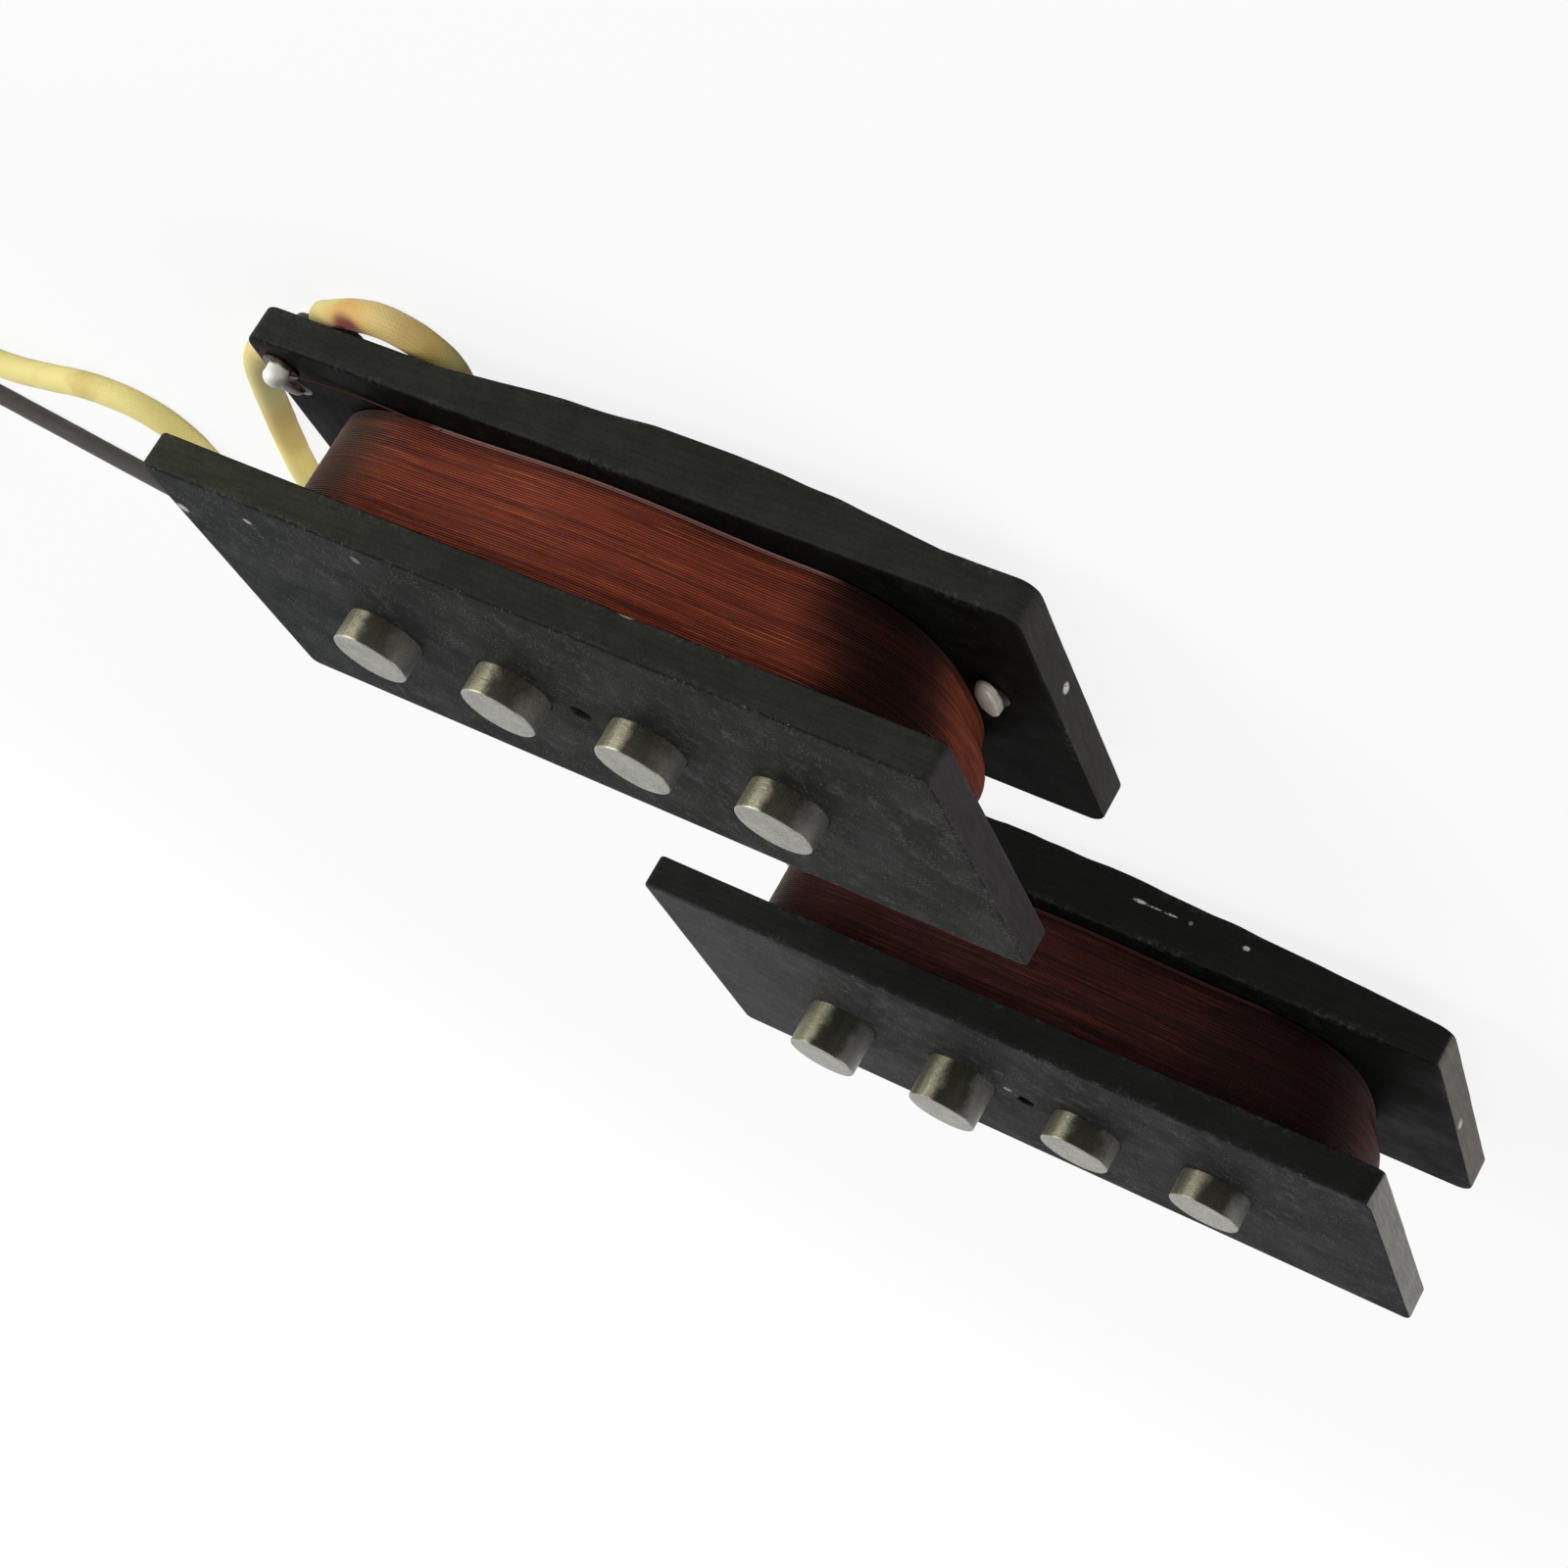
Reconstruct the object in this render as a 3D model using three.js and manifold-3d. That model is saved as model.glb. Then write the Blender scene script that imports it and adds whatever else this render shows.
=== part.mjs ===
// Split-coil pickup for a bass guitar, without its covers: two equal bobbins stand poles up, side by side
// and staggered, and a yellow and a black lead run off to one side, each put away in a flat tied coil.
// Lengths are in millimetres and +Z is the way the poles point. The origin lies midway between
// the two bobbins, on the surface that the lower ends of the magnets stand on.

import * as THREE from 'three';
import { mergeVertices } from 'three/addons/utils/BufferGeometryUtils.js';
import Module from 'manifold-3d';

const wasm = await Module();
wasm.setup();

// Fits, and how far a cut or an overlap runs past its piece
const fitGap = 0.3;
const overrun = 1.0;

// Leads
const yellowDiameter = 2.0;
const blackDiameter = 1.45;
const underPlateRoom = 0.2;
const leadTurnGap = 0.46;
const leadSides = 8;
const yellowSteps = 48;
const blackSteps = 28;

// Rod magnets: the raised ones of half B sit higher than their neighbours
const magnetDiameter = 5.0;
const magnetPitch = 9.7;
const magnetCount = 4;
const magnetStandOut = 2.0;
const magnetRaise = 1.2;
const magnetChamfer = 0.2;
const magnetSides = 32;

// Coils: the wall runs from a magnet's side to the coil's side, and the end reach from the last magnet's axis
const coilHeight = 7.4;
const coilWall = 7.3;
const coilEndReach = 8.45;
const coilBulge = 0.9;
const farEndFullness = 0.09;
const farEndDrawIn = 1.8;
const drawInHeight = 3.6;
const drawInSteps = 5;
const endArcSteps = 8;
const sideSteps = 4;

// Outer layer of each coil
const windingWire = 0.32;
const windingGap = 0.41;
const windingBend = 0.42;
const windingSides = 6;
const uprightShare = 0.03;

// Plates: the bottom plate stops short at the lead end
const plateThickness = 2.4;
const plateSideOverhang = 2.7;
const plateEndOverhang = 4.0;
const bottomPlateShortfall = 1.0;
const topCornerRadius = 0.6;
const bottomCornerRadius = 1.3;
const cornerSteps = 5;

// The fibre of the bottom plates has swollen: shares of a plate's half length where its underside starts
// to swell, swells most and is flat again
const bellyDepthA = 1.1;
const bellyDepthB = 1.6;
const bellyPlaceSharesA = [-0.46, 0.2, 0.78];
const bellyPlaceSharesB = [-0.84, -0.24, 1];
const bellySteps = 12;

// Holes
const centreHoleDiameter = 1.5;
const smallHoleSides = 16;

// Eyelets through the bottom plates
const eyeletBore = 0.8;
const eyeletBarrel = 1.3;
const eyeletLap = 0.25;
const eyeletFlangeThickness = 0.2;
const finishEyeletEndInset = 1.8;
const finishEyeletSideInset = 2.6;
const startEyeletOffset = 1.5;

// Solder: a ball on each finish eyelet, a long bead on each start eyelet and a drop under each lead eyelet
const ballDiameter = 1.45;
const ballHeight = 1.25;
const ballRiseShare = 0.41;
const beadLength = 4.2;
const beadWidth = 1.6;
const beadHeight = 0.7;
const dropDiameter = 1.9;
const dropHeight = 1.0;
const dropRiseShare = 0.45;
const solderSides = 16;
const solderSteps = 6;

// Places of the two halves
const halvesGap = 18.9;
const halvesStagger = 19.1;

// Put-away coils of the leads: each starts on its outside turn, at an angle in degrees
const loopSteps = 24;
const loopSides = 6;
const yellowTurns = 2;
const yellowCoilRadius = 13.5;
const yellowCoilX = -96;
const yellowCoilY = 18.6;
const yellowStartAngle = -90;
const blackTurns = 3;
const blackCoilRadius = 11.4;
const blackCoilX = -107.4;
const blackCoilY = -8.85;
const blackStartAngle = 70;
const curlDiameters = 2.1;
const curlSteps = 4;
const tieThickness = 0.2;
const tieGap = 0.25;
const tieWidth = 1.6;
const tieCorner = 0.5;
const tieTurnShare = 0.5;
const liftSpanShare = 0.13;

// Bare tinned ends of the leads
const yellowTipDiameter = 0.9;
const yellowTipLength = 5.0;
const blackTipDiameter = 0.7;
const blackTipLength = 3.0;

// Worked out from the sizes above
const magnetRadius = magnetDiameter / 2;
const footHeight = yellowDiameter + underPlateRoom;
const bottomFaceHeight = footHeight + plateThickness;
const topPlateHeight = bottomFaceHeight + coilHeight;
const topFaceHeight = topPlateHeight + plateThickness;
const magnetLength = topFaceHeight + magnetStandOut;
const lastMagnetX = magnetPitch * (magnetCount - 1) / 2;
const coilHalfWidth = magnetRadius + coilWall;
const coilHalfLength = lastMagnetX + coilEndReach;
const coilStraight = coilHalfLength - coilHalfWidth;
const plateHalfWidth = coilHalfWidth + plateSideOverhang;
const plateHalfLength = coilHalfLength + plateEndOverhang;
const eyeletFlangeRadius = eyeletBarrel / 2 + fitGap + eyeletLap;
const finishEyeletX = -(plateHalfLength - bottomPlateShortfall - finishEyeletEndInset);
const finishEyeletY = plateHalfWidth - finishEyeletSideInset;
const farEyeletX = coilHalfLength - farEndDrawIn + fitGap + eyeletFlangeRadius;
const leadEyeletX = -(coilHalfLength + fitGap + eyeletFlangeRadius);
const halfShiftX = halvesStagger / 2;
const halfShiftY = plateHalfWidth + halvesGap / 2;

// Route of the yellow lead on the surface, from the solder under half A to its put-away coil
const yellowRoute = [
	[-32.65, 32.44], [-31.1, 33.3], [-29.35, 34.2], [-27.4, 34.75], [-25.45, 34.35], [-24.0, 33.05],
	[-23.45, 31.1], [-23.95, 29.15], [-25.4, 27.75], [-27.4, 27.2], [-31.0, 26.9], [-35.2, 26.5],
	[-38.4, 26.1], [-40.4, 25.4], [-41.9, 24.4], [-42.9, 23.2], [-43.7, 21.8], [-44.75, 19.0],
	[-45.9, 15.3], [-47.3, 10.6], [-48.5, 5.8], [-49.0, 2.0], [-49.4, -1.6], [-50.9, -4.8],
	[-53.9, -6.8], [-57.4, -6.3], [-59.9, -3.9], [-60.95, -0.7], [-61.3, 2.2], [-62.4, 4.2],
	[-64.5, 5.45], [-67.4, 5.7], [-70.4, 5.25], [-73.8, 4.2], [-79.0, 3.0], [-84.5, 3.2],
	[-88.4, 4.4], [-91.2, 5.0], [-93.7, 5.1],
];

// Route of the black lead on the surface, from the solder under half B to its put-away coil
const blackRoute = [
	[-16.15, -23.45], [-18.6, -23.45], [-22.5, -23.25], [-28.0, -22.4], [-35.0, -20.9], [-44.0, -18.55],
	[-54.0, -15.55], [-64.0, -12.3], [-74.0, -8.85], [-80.3, -6.55], [-88.0, -3.75], [-95.0, -1.2],
	[-101.85, 1.27],
];

// Finishes
const blackFibre = new THREE.MeshStandardMaterial({ color: 0x32322f, roughness: 0.75, metalness: 0 });
const groundMagnet = new THREE.MeshStandardMaterial({ color: 0xa3a39b, roughness: 0.45, metalness: 0.8 });
const coilBody = new THREE.MeshStandardMaterial({ color: 0x561f17, roughness: 0.6, metalness: 0 });
const copperWire = new THREE.MeshStandardMaterial({ color: 0x7c3420, roughness: 0.4, metalness: 0.3 });
const eyeletBrass = new THREE.MeshStandardMaterial({ color: 0xb09a62, roughness: 0.35, metalness: 0.9 });
const solder = new THREE.MeshStandardMaterial({ color: 0xc8c8c4, roughness: 0.3, metalness: 0.8 });
const yellowCloth = new THREE.MeshStandardMaterial({ color: 0xdecd6e, roughness: 0.9, metalness: 0 });
const blackCloth = new THREE.MeshStandardMaterial({ color: 0x3a3731, roughness: 0.9, metalness: 0 });
const tinnedWire = new THREE.MeshStandardMaterial({ color: 0xbfbab0, roughness: 0.35, metalness: 0.8 });
const tieThread = new THREE.MeshStandardMaterial({ color: 0xd9d5c8, roughness: 0.85, metalness: 0 });

const pickup = new THREE.Group();

function addMesh(parent, name, geometry, material, x, y, z) {
	const mesh = new THREE.Mesh(geometry, material);
	mesh.name = name;
	mesh.position.set(x, y, z);
	parent.add(mesh);
	return mesh;
}

// Outlines

// Points of a round arc, both ends included
function arcPoints(x, y, radius, fromAngle, toAngle, steps) {
	const points = [];
	for (let i = 0; i <= steps; i++) {
		const angle = fromAngle + (toAngle - fromAngle) * i / steps;
		points.push(new THREE.Vector2(x + radius * Math.cos(angle), y + radius * Math.sin(angle)));
	}
	return points;
}

function circlePoints(x, y, radius, sides) {
	return arcPoints(x, y, radius, 0, Math.PI * 2, sides).slice(0, -1);
}

function roundedBox(left, right, low, high, radius) {
	const quarter = Math.PI / 2;
	return [
		...arcPoints(right - radius, high - radius, radius, 0, quarter, cornerSteps),
		...arcPoints(left + radius, high - radius, radius, quarter, quarter * 2, cornerSteps),
		...arcPoints(left + radius, low + radius, radius, quarter * 2, quarter * 3, cornerSteps),
		...arcPoints(right - radius, low + radius, radius, quarter * 3, quarter * 4, cornerSteps),
	];
}

// One loop round a coil, clockwise from above, from the lead end of its +Y side. The long sides bulge,
// and the end away from the leads is fuller at its two shoulders.
function coilLoop(halfWidth) {
	const points = [];
	const side = (share, sign) => {
		const x = coilStraight * (2 * share - 1);
		const swell = coilBulge * Math.cos(Math.PI / 2 * x / coilStraight) ** 2;
		return new THREE.Vector2(sign * x, sign * (halfWidth + swell));
	};
	for (let i = 0; i < sideSteps; i++) {
		points.push(side(i / sideSteps, 1));
	}
	const farCentre = new THREE.Vector2(coilStraight, 0);
	const farEnd = arcPoints(coilStraight, 0, halfWidth, Math.PI / 2, -Math.PI / 2, endArcSteps);
	for (const point of farEnd.slice(0, -1)) {
		const outwards = point.clone().sub(farCentre);
		const shoulder = Math.sin(2 * outwards.angle()) ** 2;
		points.push(point.addScaledVector(outwards, farEndFullness * shoulder));
	}
	for (let i = 0; i < sideSteps; i++) {
		points.push(side(i / sideSteps, -1));
	}
	const leadEnd = arcPoints(-coilStraight, 0, halfWidth, -Math.PI / 2, -Math.PI * 3 / 2, endArcSteps);
	points.push(...leadEnd.slice(0, -1));
	return points;
}

// The same loop at a height above the bottom plate: near that plate the end away from the leads is drawn in
function drawnLoop(halfWidth, rise) {
	const share = rise < drawInHeight ? Math.cos(Math.PI / 2 * rise / drawInHeight) ** 2 : 0;
	return coilLoop(halfWidth).map((point) => {
		const reach = Math.max(0, (point.x - coilStraight) / halfWidth);
		return new THREE.Vector2(point.x - farEndDrawIn * share * reach, point.y);
	});
}

// Solids

function extruded(outline, holes, height) {
	const shape = new THREE.Shape(outline);
	shape.holes = holes.map((hole) => new THREE.Path(hole));
	return new THREE.ExtrudeGeometry(shape, { depth: height, bevelEnabled: false });
}

// A closed solid through level rings of points, lowest first, each anticlockwise from above
function lofted(rings) {
	const sides = rings[0].length;
	const indices = [];
	for (let row = 0; row + 1 < rings.length; row++) {
		for (let k = 0; k < sides; k++) {
			const a = row * sides + k;
			const b = row * sides + (k + 1) % sides;
			indices.push(a, b, b + sides, a, b + sides, a + sides);
		}
	}
	const last = (rings.length - 1) * sides;
	const outline = rings[0].map((point) => new THREE.Vector2(point.x, point.y));
	for (const [a, b, c] of THREE.ShapeUtils.triangulateShape(outline, [])) {
		indices.push(c, b, a, last + a, last + b, last + c);
	}
	const geometry = new THREE.BufferGeometry();
	const positions = rings.flat().flatMap((point) => point.toArray());
	geometry.setAttribute('position', new THREE.Float32BufferAttribute(positions, 3));
	geometry.setIndex(indices);
	return geometry;
}

// A geometry as a solid that can be cut, and back
function solidOf(geometry) {
	geometry.deleteAttribute('normal');
	geometry.deleteAttribute('uv');
	const merged = mergeVertices(geometry);
	const vertProperties = new Float32Array(merged.attributes.position.array);
	const triVerts = new Uint32Array(merged.index.array);
	return new wasm.Manifold(new wasm.Mesh({ numProp: 3, vertProperties, triVerts }));
}

function geometryOf(solid) {
	const { vertProperties, triVerts } = solid.getMesh();
	const geometry = new THREE.BufferGeometry();
	geometry.setAttribute('position', new THREE.Float32BufferAttribute(vertProperties, 3));
	geometry.setIndex(Array.from(triVerts));
	geometry.computeVertexNormals();
	return geometry;
}

// A profile of [radius, height] pairs turned about Z
function turned(profile, sides) {
	const geometry = new THREE.LatheGeometry(profile.map(([r, h]) => new THREE.Vector2(r, h)), sides);
	return geometry.rotateX(Math.PI / 2);
}

// A rounded blob on a flat base, widest at a share of its height
function blob(radius, height, riseShare) {
	const rise = height * riseShare;
	const baseAngle = -Math.asin(Math.min(rise / radius, 1));
	const profile = [[0, 0]];
	for (let i = 0; i < solderSteps; i++) {
		const angle = baseAngle + (Math.PI / 2 - baseAngle) * i / solderSteps;
		const reach = angle < 0 ? rise / Math.sin(-baseAngle) : height - rise;
		profile.push([radius * Math.cos(angle), rise + reach * Math.sin(angle)]);
	}
	profile.push([0, height]);
	return turned(profile, solderSides);
}

// One closed tube along a list of points, with each ring square to the run and one of its axes level.
// Where the run stands nearly upright, that axis stays as it was.
function tube(points, radius, sides) {
	const positions = [];
	const indices = [];
	const level = new THREE.Vector3();
	points.forEach((point, i) => {
		const before = points[Math.max(i - 1, 0)];
		const after = points[Math.min(i + 1, points.length - 1)];
		const along = after.clone().sub(before).normalize();
		const flat = new THREE.Vector3(along.y, -along.x, 0);
		if (flat.length() > uprightShare) {
			level.copy(flat.normalize());
		}
		const across = new THREE.Vector3().crossVectors(along, level);
		for (let k = 0; k < sides; k++) {
			const angle = Math.PI * 2 * k / sides;
			const corner = point.clone();
			corner.addScaledVector(level, radius * Math.cos(angle));
			corner.addScaledVector(across, radius * Math.sin(angle));
			positions.push(corner.x, corner.y, corner.z);
		}
	});
	for (let i = 0; i + 1 < points.length; i++) {
		for (let k = 0; k < sides; k++) {
			const a = i * sides + k;
			const b = i * sides + (k + 1) % sides;
			indices.push(a, b, b + sides, a, b + sides, a + sides);
		}
	}
	const last = (points.length - 1) * sides;
	for (let k = 1; k + 1 < sides; k++) {
		indices.push(0, k + 1, k);
		indices.push(last, last + k, last + k + 1);
	}
	const geometry = new THREE.BufferGeometry();
	geometry.setAttribute('position', new THREE.Float32BufferAttribute(positions, 3));
	geometry.setIndex(indices);
	geometry.computeVertexNormals();
	return geometry;
}

// The least gap from a tube to itself, measured on points of its middle line that lie half a loop apart or more
function leastGap(points, diameter, halfLoop) {
	const samplesPerStep = 4;
	const samples = [];
	let travelled = 0;
	for (let i = 0; i + 1 < points.length; i++) {
		const stepLength = points[i].distanceTo(points[i + 1]);
		for (let k = 0; k < samplesPerStep; k++) {
			const share = k / samplesPerStep;
			const place = points[i].clone().lerp(points[i + 1], share);
			samples.push({ place, travelled: travelled + stepLength * share });
		}
		travelled += stepLength;
	}
	let least = Infinity;
	for (const one of samples) {
		for (const other of samples) {
			if (other.travelled - one.travelled >= halfLoop) {
				least = Math.min(least, one.place.distanceTo(other.place) - diameter);
			}
		}
	}
	return least;
}

// Plates and magnets

function magnetX(index) {
	return magnetPitch * index - lastMagnetX;
}

function magnetHoles() {
	const holes = [];
	for (let i = 0; i < magnetCount; i++) {
		holes.push(circlePoints(magnetX(i), 0, magnetRadius + fitGap, magnetSides));
	}
	return holes;
}

// A bottom plate whose underside swells: its prism, cut to a side view with a bellied lower edge
function bottomPlate(outline, holes, bellyDepth, placeShares) {
	const [from, most, to] = placeShares.map((share) => share * plateHalfLength);
	const lower = [];
	for (let i = 0; i <= bellySteps; i++) {
		const x = from + (to - from) * i / bellySteps;
		const away = Math.abs(x - most) / (x < most ? most - from : to - most);
		lower.push(new THREE.Vector2(x, -bellyDepth * Math.cos(Math.PI / 2 * away)));
	}
	const end = plateHalfLength + overrun;
	const sideView = [
		new THREE.Vector2(end, plateThickness + overrun),
		new THREE.Vector2(-end, plateThickness + overrun),
		new THREE.Vector2(-end, 0),
		...lower,
		new THREE.Vector2(end, 0),
	];
	const width = (plateHalfWidth + overrun) * 2;
	const slab = extruded(sideView, [], width).rotateX(Math.PI / 2).translate(0, width / 2, 0);
	const depth = bellyDepth + overrun;
	const prism = extruded(outline, holes, plateThickness + depth).translate(0, 0, -depth);
	return geometryOf(solidOf(prism).intersect(solidOf(slab)));
}

function addPlates(half, name, eyelets, bellyDepth, bellyPlaceShares) {
	const top = roundedBox(-plateHalfLength, plateHalfLength, -plateHalfWidth, plateHalfWidth, topCornerRadius);
	const centreHole = circlePoints(0, 0, centreHoleDiameter / 2, smallHoleSides);
	const topPlate = extruded(top, [...magnetHoles(), centreHole], plateThickness);
	addMesh(half, `${name}_top_plate`, topPlate, blackFibre, 0, 0, topPlateHeight);
	const leadEnd = bottomPlateShortfall - plateHalfLength;
	const bottom = roundedBox(leadEnd, plateHalfLength, -plateHalfWidth, plateHalfWidth, bottomCornerRadius);
	const eyeletHoles = eyelets.map(([x, y]) => circlePoints(x, y, eyeletBarrel / 2 + fitGap, smallHoleSides));
	const plate = bottomPlate(bottom, [...magnetHoles(), ...eyeletHoles], bellyDepth, bellyPlaceShares);
	addMesh(half, `${name}_bottom_plate`, plate, blackFibre, 0, 0, footHeight);
}

function addMagnets(half, name, raises) {
	const rim = magnetRadius - magnetChamfer;
	const rod = turned([
		[0, 0],
		[rim, 0],
		[magnetRadius, magnetChamfer],
		[magnetRadius, magnetLength - magnetChamfer],
		[rim, magnetLength],
		[0, magnetLength],
	], magnetSides);
	raises.forEach((raise, i) => {
		addMesh(half, `${name}_magnet_${i + 1}`, rod, groundMagnet, magnetX(i), 0, raise);
	});
}

// Coils: a plain core between the plates, and the outer layer of turns round it

function windingPoints() {
	const halfWidth = coilHalfWidth - windingWire / 2;
	const loop = coilLoop(halfWidth);
	const lowest = bottomFaceHeight + fitGap + windingWire / 2;
	const highest = topPlateHeight - fitGap - windingWire - windingBend;
	const turns = Math.floor((highest - lowest) / (windingWire + windingGap));
	const pitch = (highest - lowest) / turns;
	const eyelet = new THREE.Vector3(finishEyeletX, finishEyeletY, lowest);
	const first = new THREE.Vector3(loop[0].x, loop[0].y, lowest);
	const leadIn = first.clone().sub(eyelet).normalize();
	const start = eyelet.clone().addScaledVector(leadIn, ballDiameter / 2 + fitGap);
	const points = [start, start.clone().addScaledVector(leadIn, windingWire)];
	for (let i = 0; i <= turns * loop.length; i++) {
		const height = lowest + pitch * i / loop.length;
		const corner = drawnLoop(halfWidth, height - bottomFaceHeight)[i % loop.length];
		points.push(new THREE.Vector3(corner.x, corner.y, height));
	}
	// The last turn bends up and ends square to the top plate
	const end = points[points.length - 1];
	const bendEnd = end.clone().add(new THREE.Vector3(windingBend, 0, windingBend));
	points.push(bendEnd, bendEnd.clone().add(new THREE.Vector3(0, 0, windingWire)));
	return { points, turns };
}

function addCoil(half, name) {
	const rises = [];
	for (let i = 0; i <= drawInSteps; i++) {
		rises.push(drawInHeight * i / drawInSteps);
	}
	const rings = [...rises, coilHeight].map((rise) => {
		const ring = drawnLoop(coilHalfWidth - windingWire - fitGap, rise).reverse();
		return ring.map((point) => new THREE.Vector3(point.x, point.y, rise));
	});
	const rods = magnetHoles().map((hole) => {
		return solidOf(extruded(hole, [], coilHeight + overrun * 2).translate(0, 0, -overrun));
	});
	const core = rods.reduce((rest, rod) => rest.subtract(rod), solidOf(lofted(rings)));
	addMesh(half, `${name}_coil_core`, geometryOf(core), coilBody, 0, 0, bottomFaceHeight);
	const { points, turns } = windingPoints();
	addMesh(half, `${name}_coil_winding`, tube(points, windingWire / 2, windingSides), copperWire, 0, 0, 0);
	const gap = leastGap(points, windingWire, coilHalfLength * 2);
	console.log(`${name}_coil_winding: ${turns} loops, least gap to itself ${gap.toFixed(2)} mm`);
}

// Eyelets and solder

function addEyelet(half, name, x, y) {
	const bore = eyeletBore / 2;
	const barrel = eyeletBarrel / 2;
	const eyelet = turned([
		[bore, -eyeletFlangeThickness],
		[eyeletFlangeRadius, -eyeletFlangeThickness],
		[eyeletFlangeRadius, 0],
		[barrel, 0],
		[barrel, plateThickness],
		[eyeletFlangeRadius, plateThickness],
		[eyeletFlangeRadius, plateThickness + eyeletFlangeThickness],
		[bore, plateThickness + eyeletFlangeThickness],
		[bore, -eyeletFlangeThickness],
	], smallHoleSides);
	addMesh(half, name, eyelet, eyeletBrass, x, y, footHeight);
}

function addSolder(half, name, finish, start, lead) {
	const upperFlange = bottomFaceHeight + eyeletFlangeThickness;
	const ball = blob(ballDiameter / 2, ballHeight, ballRiseShare);
	addMesh(half, `${name}_finish_solder`, ball, solder, finish[0], finish[1], upperFlange);
	const bead = blob(beadWidth / 2, beadHeight, 0).scale(1, beadLength / beadWidth, 1);
	addMesh(half, `${name}_start_solder`, bead, solder, start[0], start[1], upperFlange);
	const drop = blob(dropDiameter / 2, dropHeight, dropRiseShare).rotateX(Math.PI);
	addMesh(half, `${name}_lead_solder`, drop, solder, lead[0], lead[1], footHeight - eyeletFlangeThickness);
}

// One half: startX is where its start eyelet stands, and leadEyelet picks which eyelet carries the lead
function addHalf(name, x, y, startX, raises, leadEyelet, bellyDepth, bellyPlaceShares) {
	const half = new THREE.Group();
	half.position.set(x, y, 0);
	pickup.add(half);
	const finish = [finishEyeletX, finishEyeletY];
	const start = [startX, Math.sign(startX) * startEyeletOffset];
	addPlates(half, name, [finish, start], bellyDepth, bellyPlaceShares);
	addMagnets(half, name, raises);
	addCoil(half, name);
	addEyelet(half, `${name}_finish_eyelet`, ...finish);
	addEyelet(half, `${name}_start_eyelet`, ...start);
	addSolder(half, name, finish, start, leadEyelet === 'finish' ? finish : start);
}

// Leads

// The free stretch lies on the surface along its route
function addLead(name, route, diameter, steps, material) {
	const points = route.map(([x, y]) => new THREE.Vector3(x, y, diameter / 2));
	const path = new THREE.CatmullRomCurve3(points, false, 'centripetal');
	const section = new THREE.Shape(circlePoints(0, 0, diameter / 2, leadSides));
	const solid = new THREE.ExtrudeGeometry(section, { steps, extrudePath: path, bevelEnabled: false });
	addMesh(pickup, name, solid, material, 0, 0, 0);
	return path.getLength();
}

// A flat coil winds inwards at a steady rate. It lies on the surface, lifts over its tie,
// and its end curls in and runs straight to the bare tip.
function addLeadCoil(name, lead, tip, material) {
	const { x, y, radius, turns, startAngle, way, diameter } = lead;
	const pitch = diameter + leadTurnGap;
	const from = THREE.MathUtils.degToRad(startAngle);
	const height = (turn) => {
		const away = Math.abs(turn - tieTurnShare - Math.round(turn - tieTurnShare));
		const lift = away < liftSpanShare ? Math.cos(Math.PI / 2 * away / liftSpanShare) ** 2 : 0;
		return diameter / 2 + lift * (tieThickness + tieGap);
	};
	const points = [];
	for (let i = 0; i <= turns * loopSteps; i++) {
		const turn = i / loopSteps;
		const angle = from + way * Math.PI * 2 * turn;
		const reach = radius - pitch * turn;
		points.push(new THREE.Vector3(reach * Math.cos(angle), reach * Math.sin(angle), height(turn)));
	}
	const leadIn = new THREE.Vector3(way * Math.sin(from), -way * Math.cos(from), 0);
	points.unshift(points[0].clone().addScaledVector(leadIn, diameter));
	const innerAngle = from + way * Math.PI * 2 * turns;
	const curl = curlDiameters * diameter;
	const curlOut = radius - pitch * turns - curl;
	const curlX = curlOut * Math.cos(innerAngle);
	const curlY = curlOut * Math.sin(innerAngle);
	const curlTurn = way * Math.PI / 2;
	arcPoints(curlX, curlY, curl, innerAngle, innerAngle + curlTurn, curlSteps).slice(1).forEach((place) => {
		points.push(new THREE.Vector3(place.x, place.y, diameter / 2));
	});
	const heading = innerAngle + curlTurn * 2;
	const ahead = new THREE.Vector3(Math.cos(heading), Math.sin(heading), 0);
	const end = points[points.length - 1].clone().addScaledVector(ahead, diameter);
	points.push(end);
	addMesh(pickup, `${name}_coil`, tube(points, diameter / 2, loopSides), material, x, y, 0);
	const gap = leastGap(points, diameter, Math.PI * curlOut);
	console.log(`${name}_coil: ${turns} loops, least gap to itself ${gap.toFixed(2)} mm`);

	const tipStart = end.clone().addScaledVector(ahead, fitGap);
	const tipEnd = tipStart.clone().addScaledVector(ahead, tip.length);
	addMesh(pickup, `${name}_tip`, tube([tipStart, tipEnd], tip.diameter / 2, leadSides), tinnedWire, x, y, 0);

	const inner = radius - pitch * (turns - 1 + tieTurnShare) - diameter / 2 - tieGap;
	const outer = radius - pitch * tieTurnShare + diameter / 2 + tieGap;
	const tieTop = tieThickness + tieGap + diameter + tieGap;
	const around = roundedBox(inner - tieThickness, outer + tieThickness, 0, tieTop + tieThickness, tieCorner);
	const within = roundedBox(inner, outer, tieThickness, tieTop, tieCorner - tieThickness);
	const tie = extruded(around, [within], tieWidth).translate(0, 0, -tieWidth / 2).rotateX(Math.PI / 2);
	const tieMesh = addMesh(pickup, `${name}_tie`, tie, tieThread, x, y, 0);
	tieMesh.rotation.z = from + way * Math.PI * 2 * tieTurnShare;

	const wound = points.slice(1).reduce((sum, point, i) => sum + point.distanceTo(points[i]), 0);
	return wound + tip.length;
}

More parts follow.
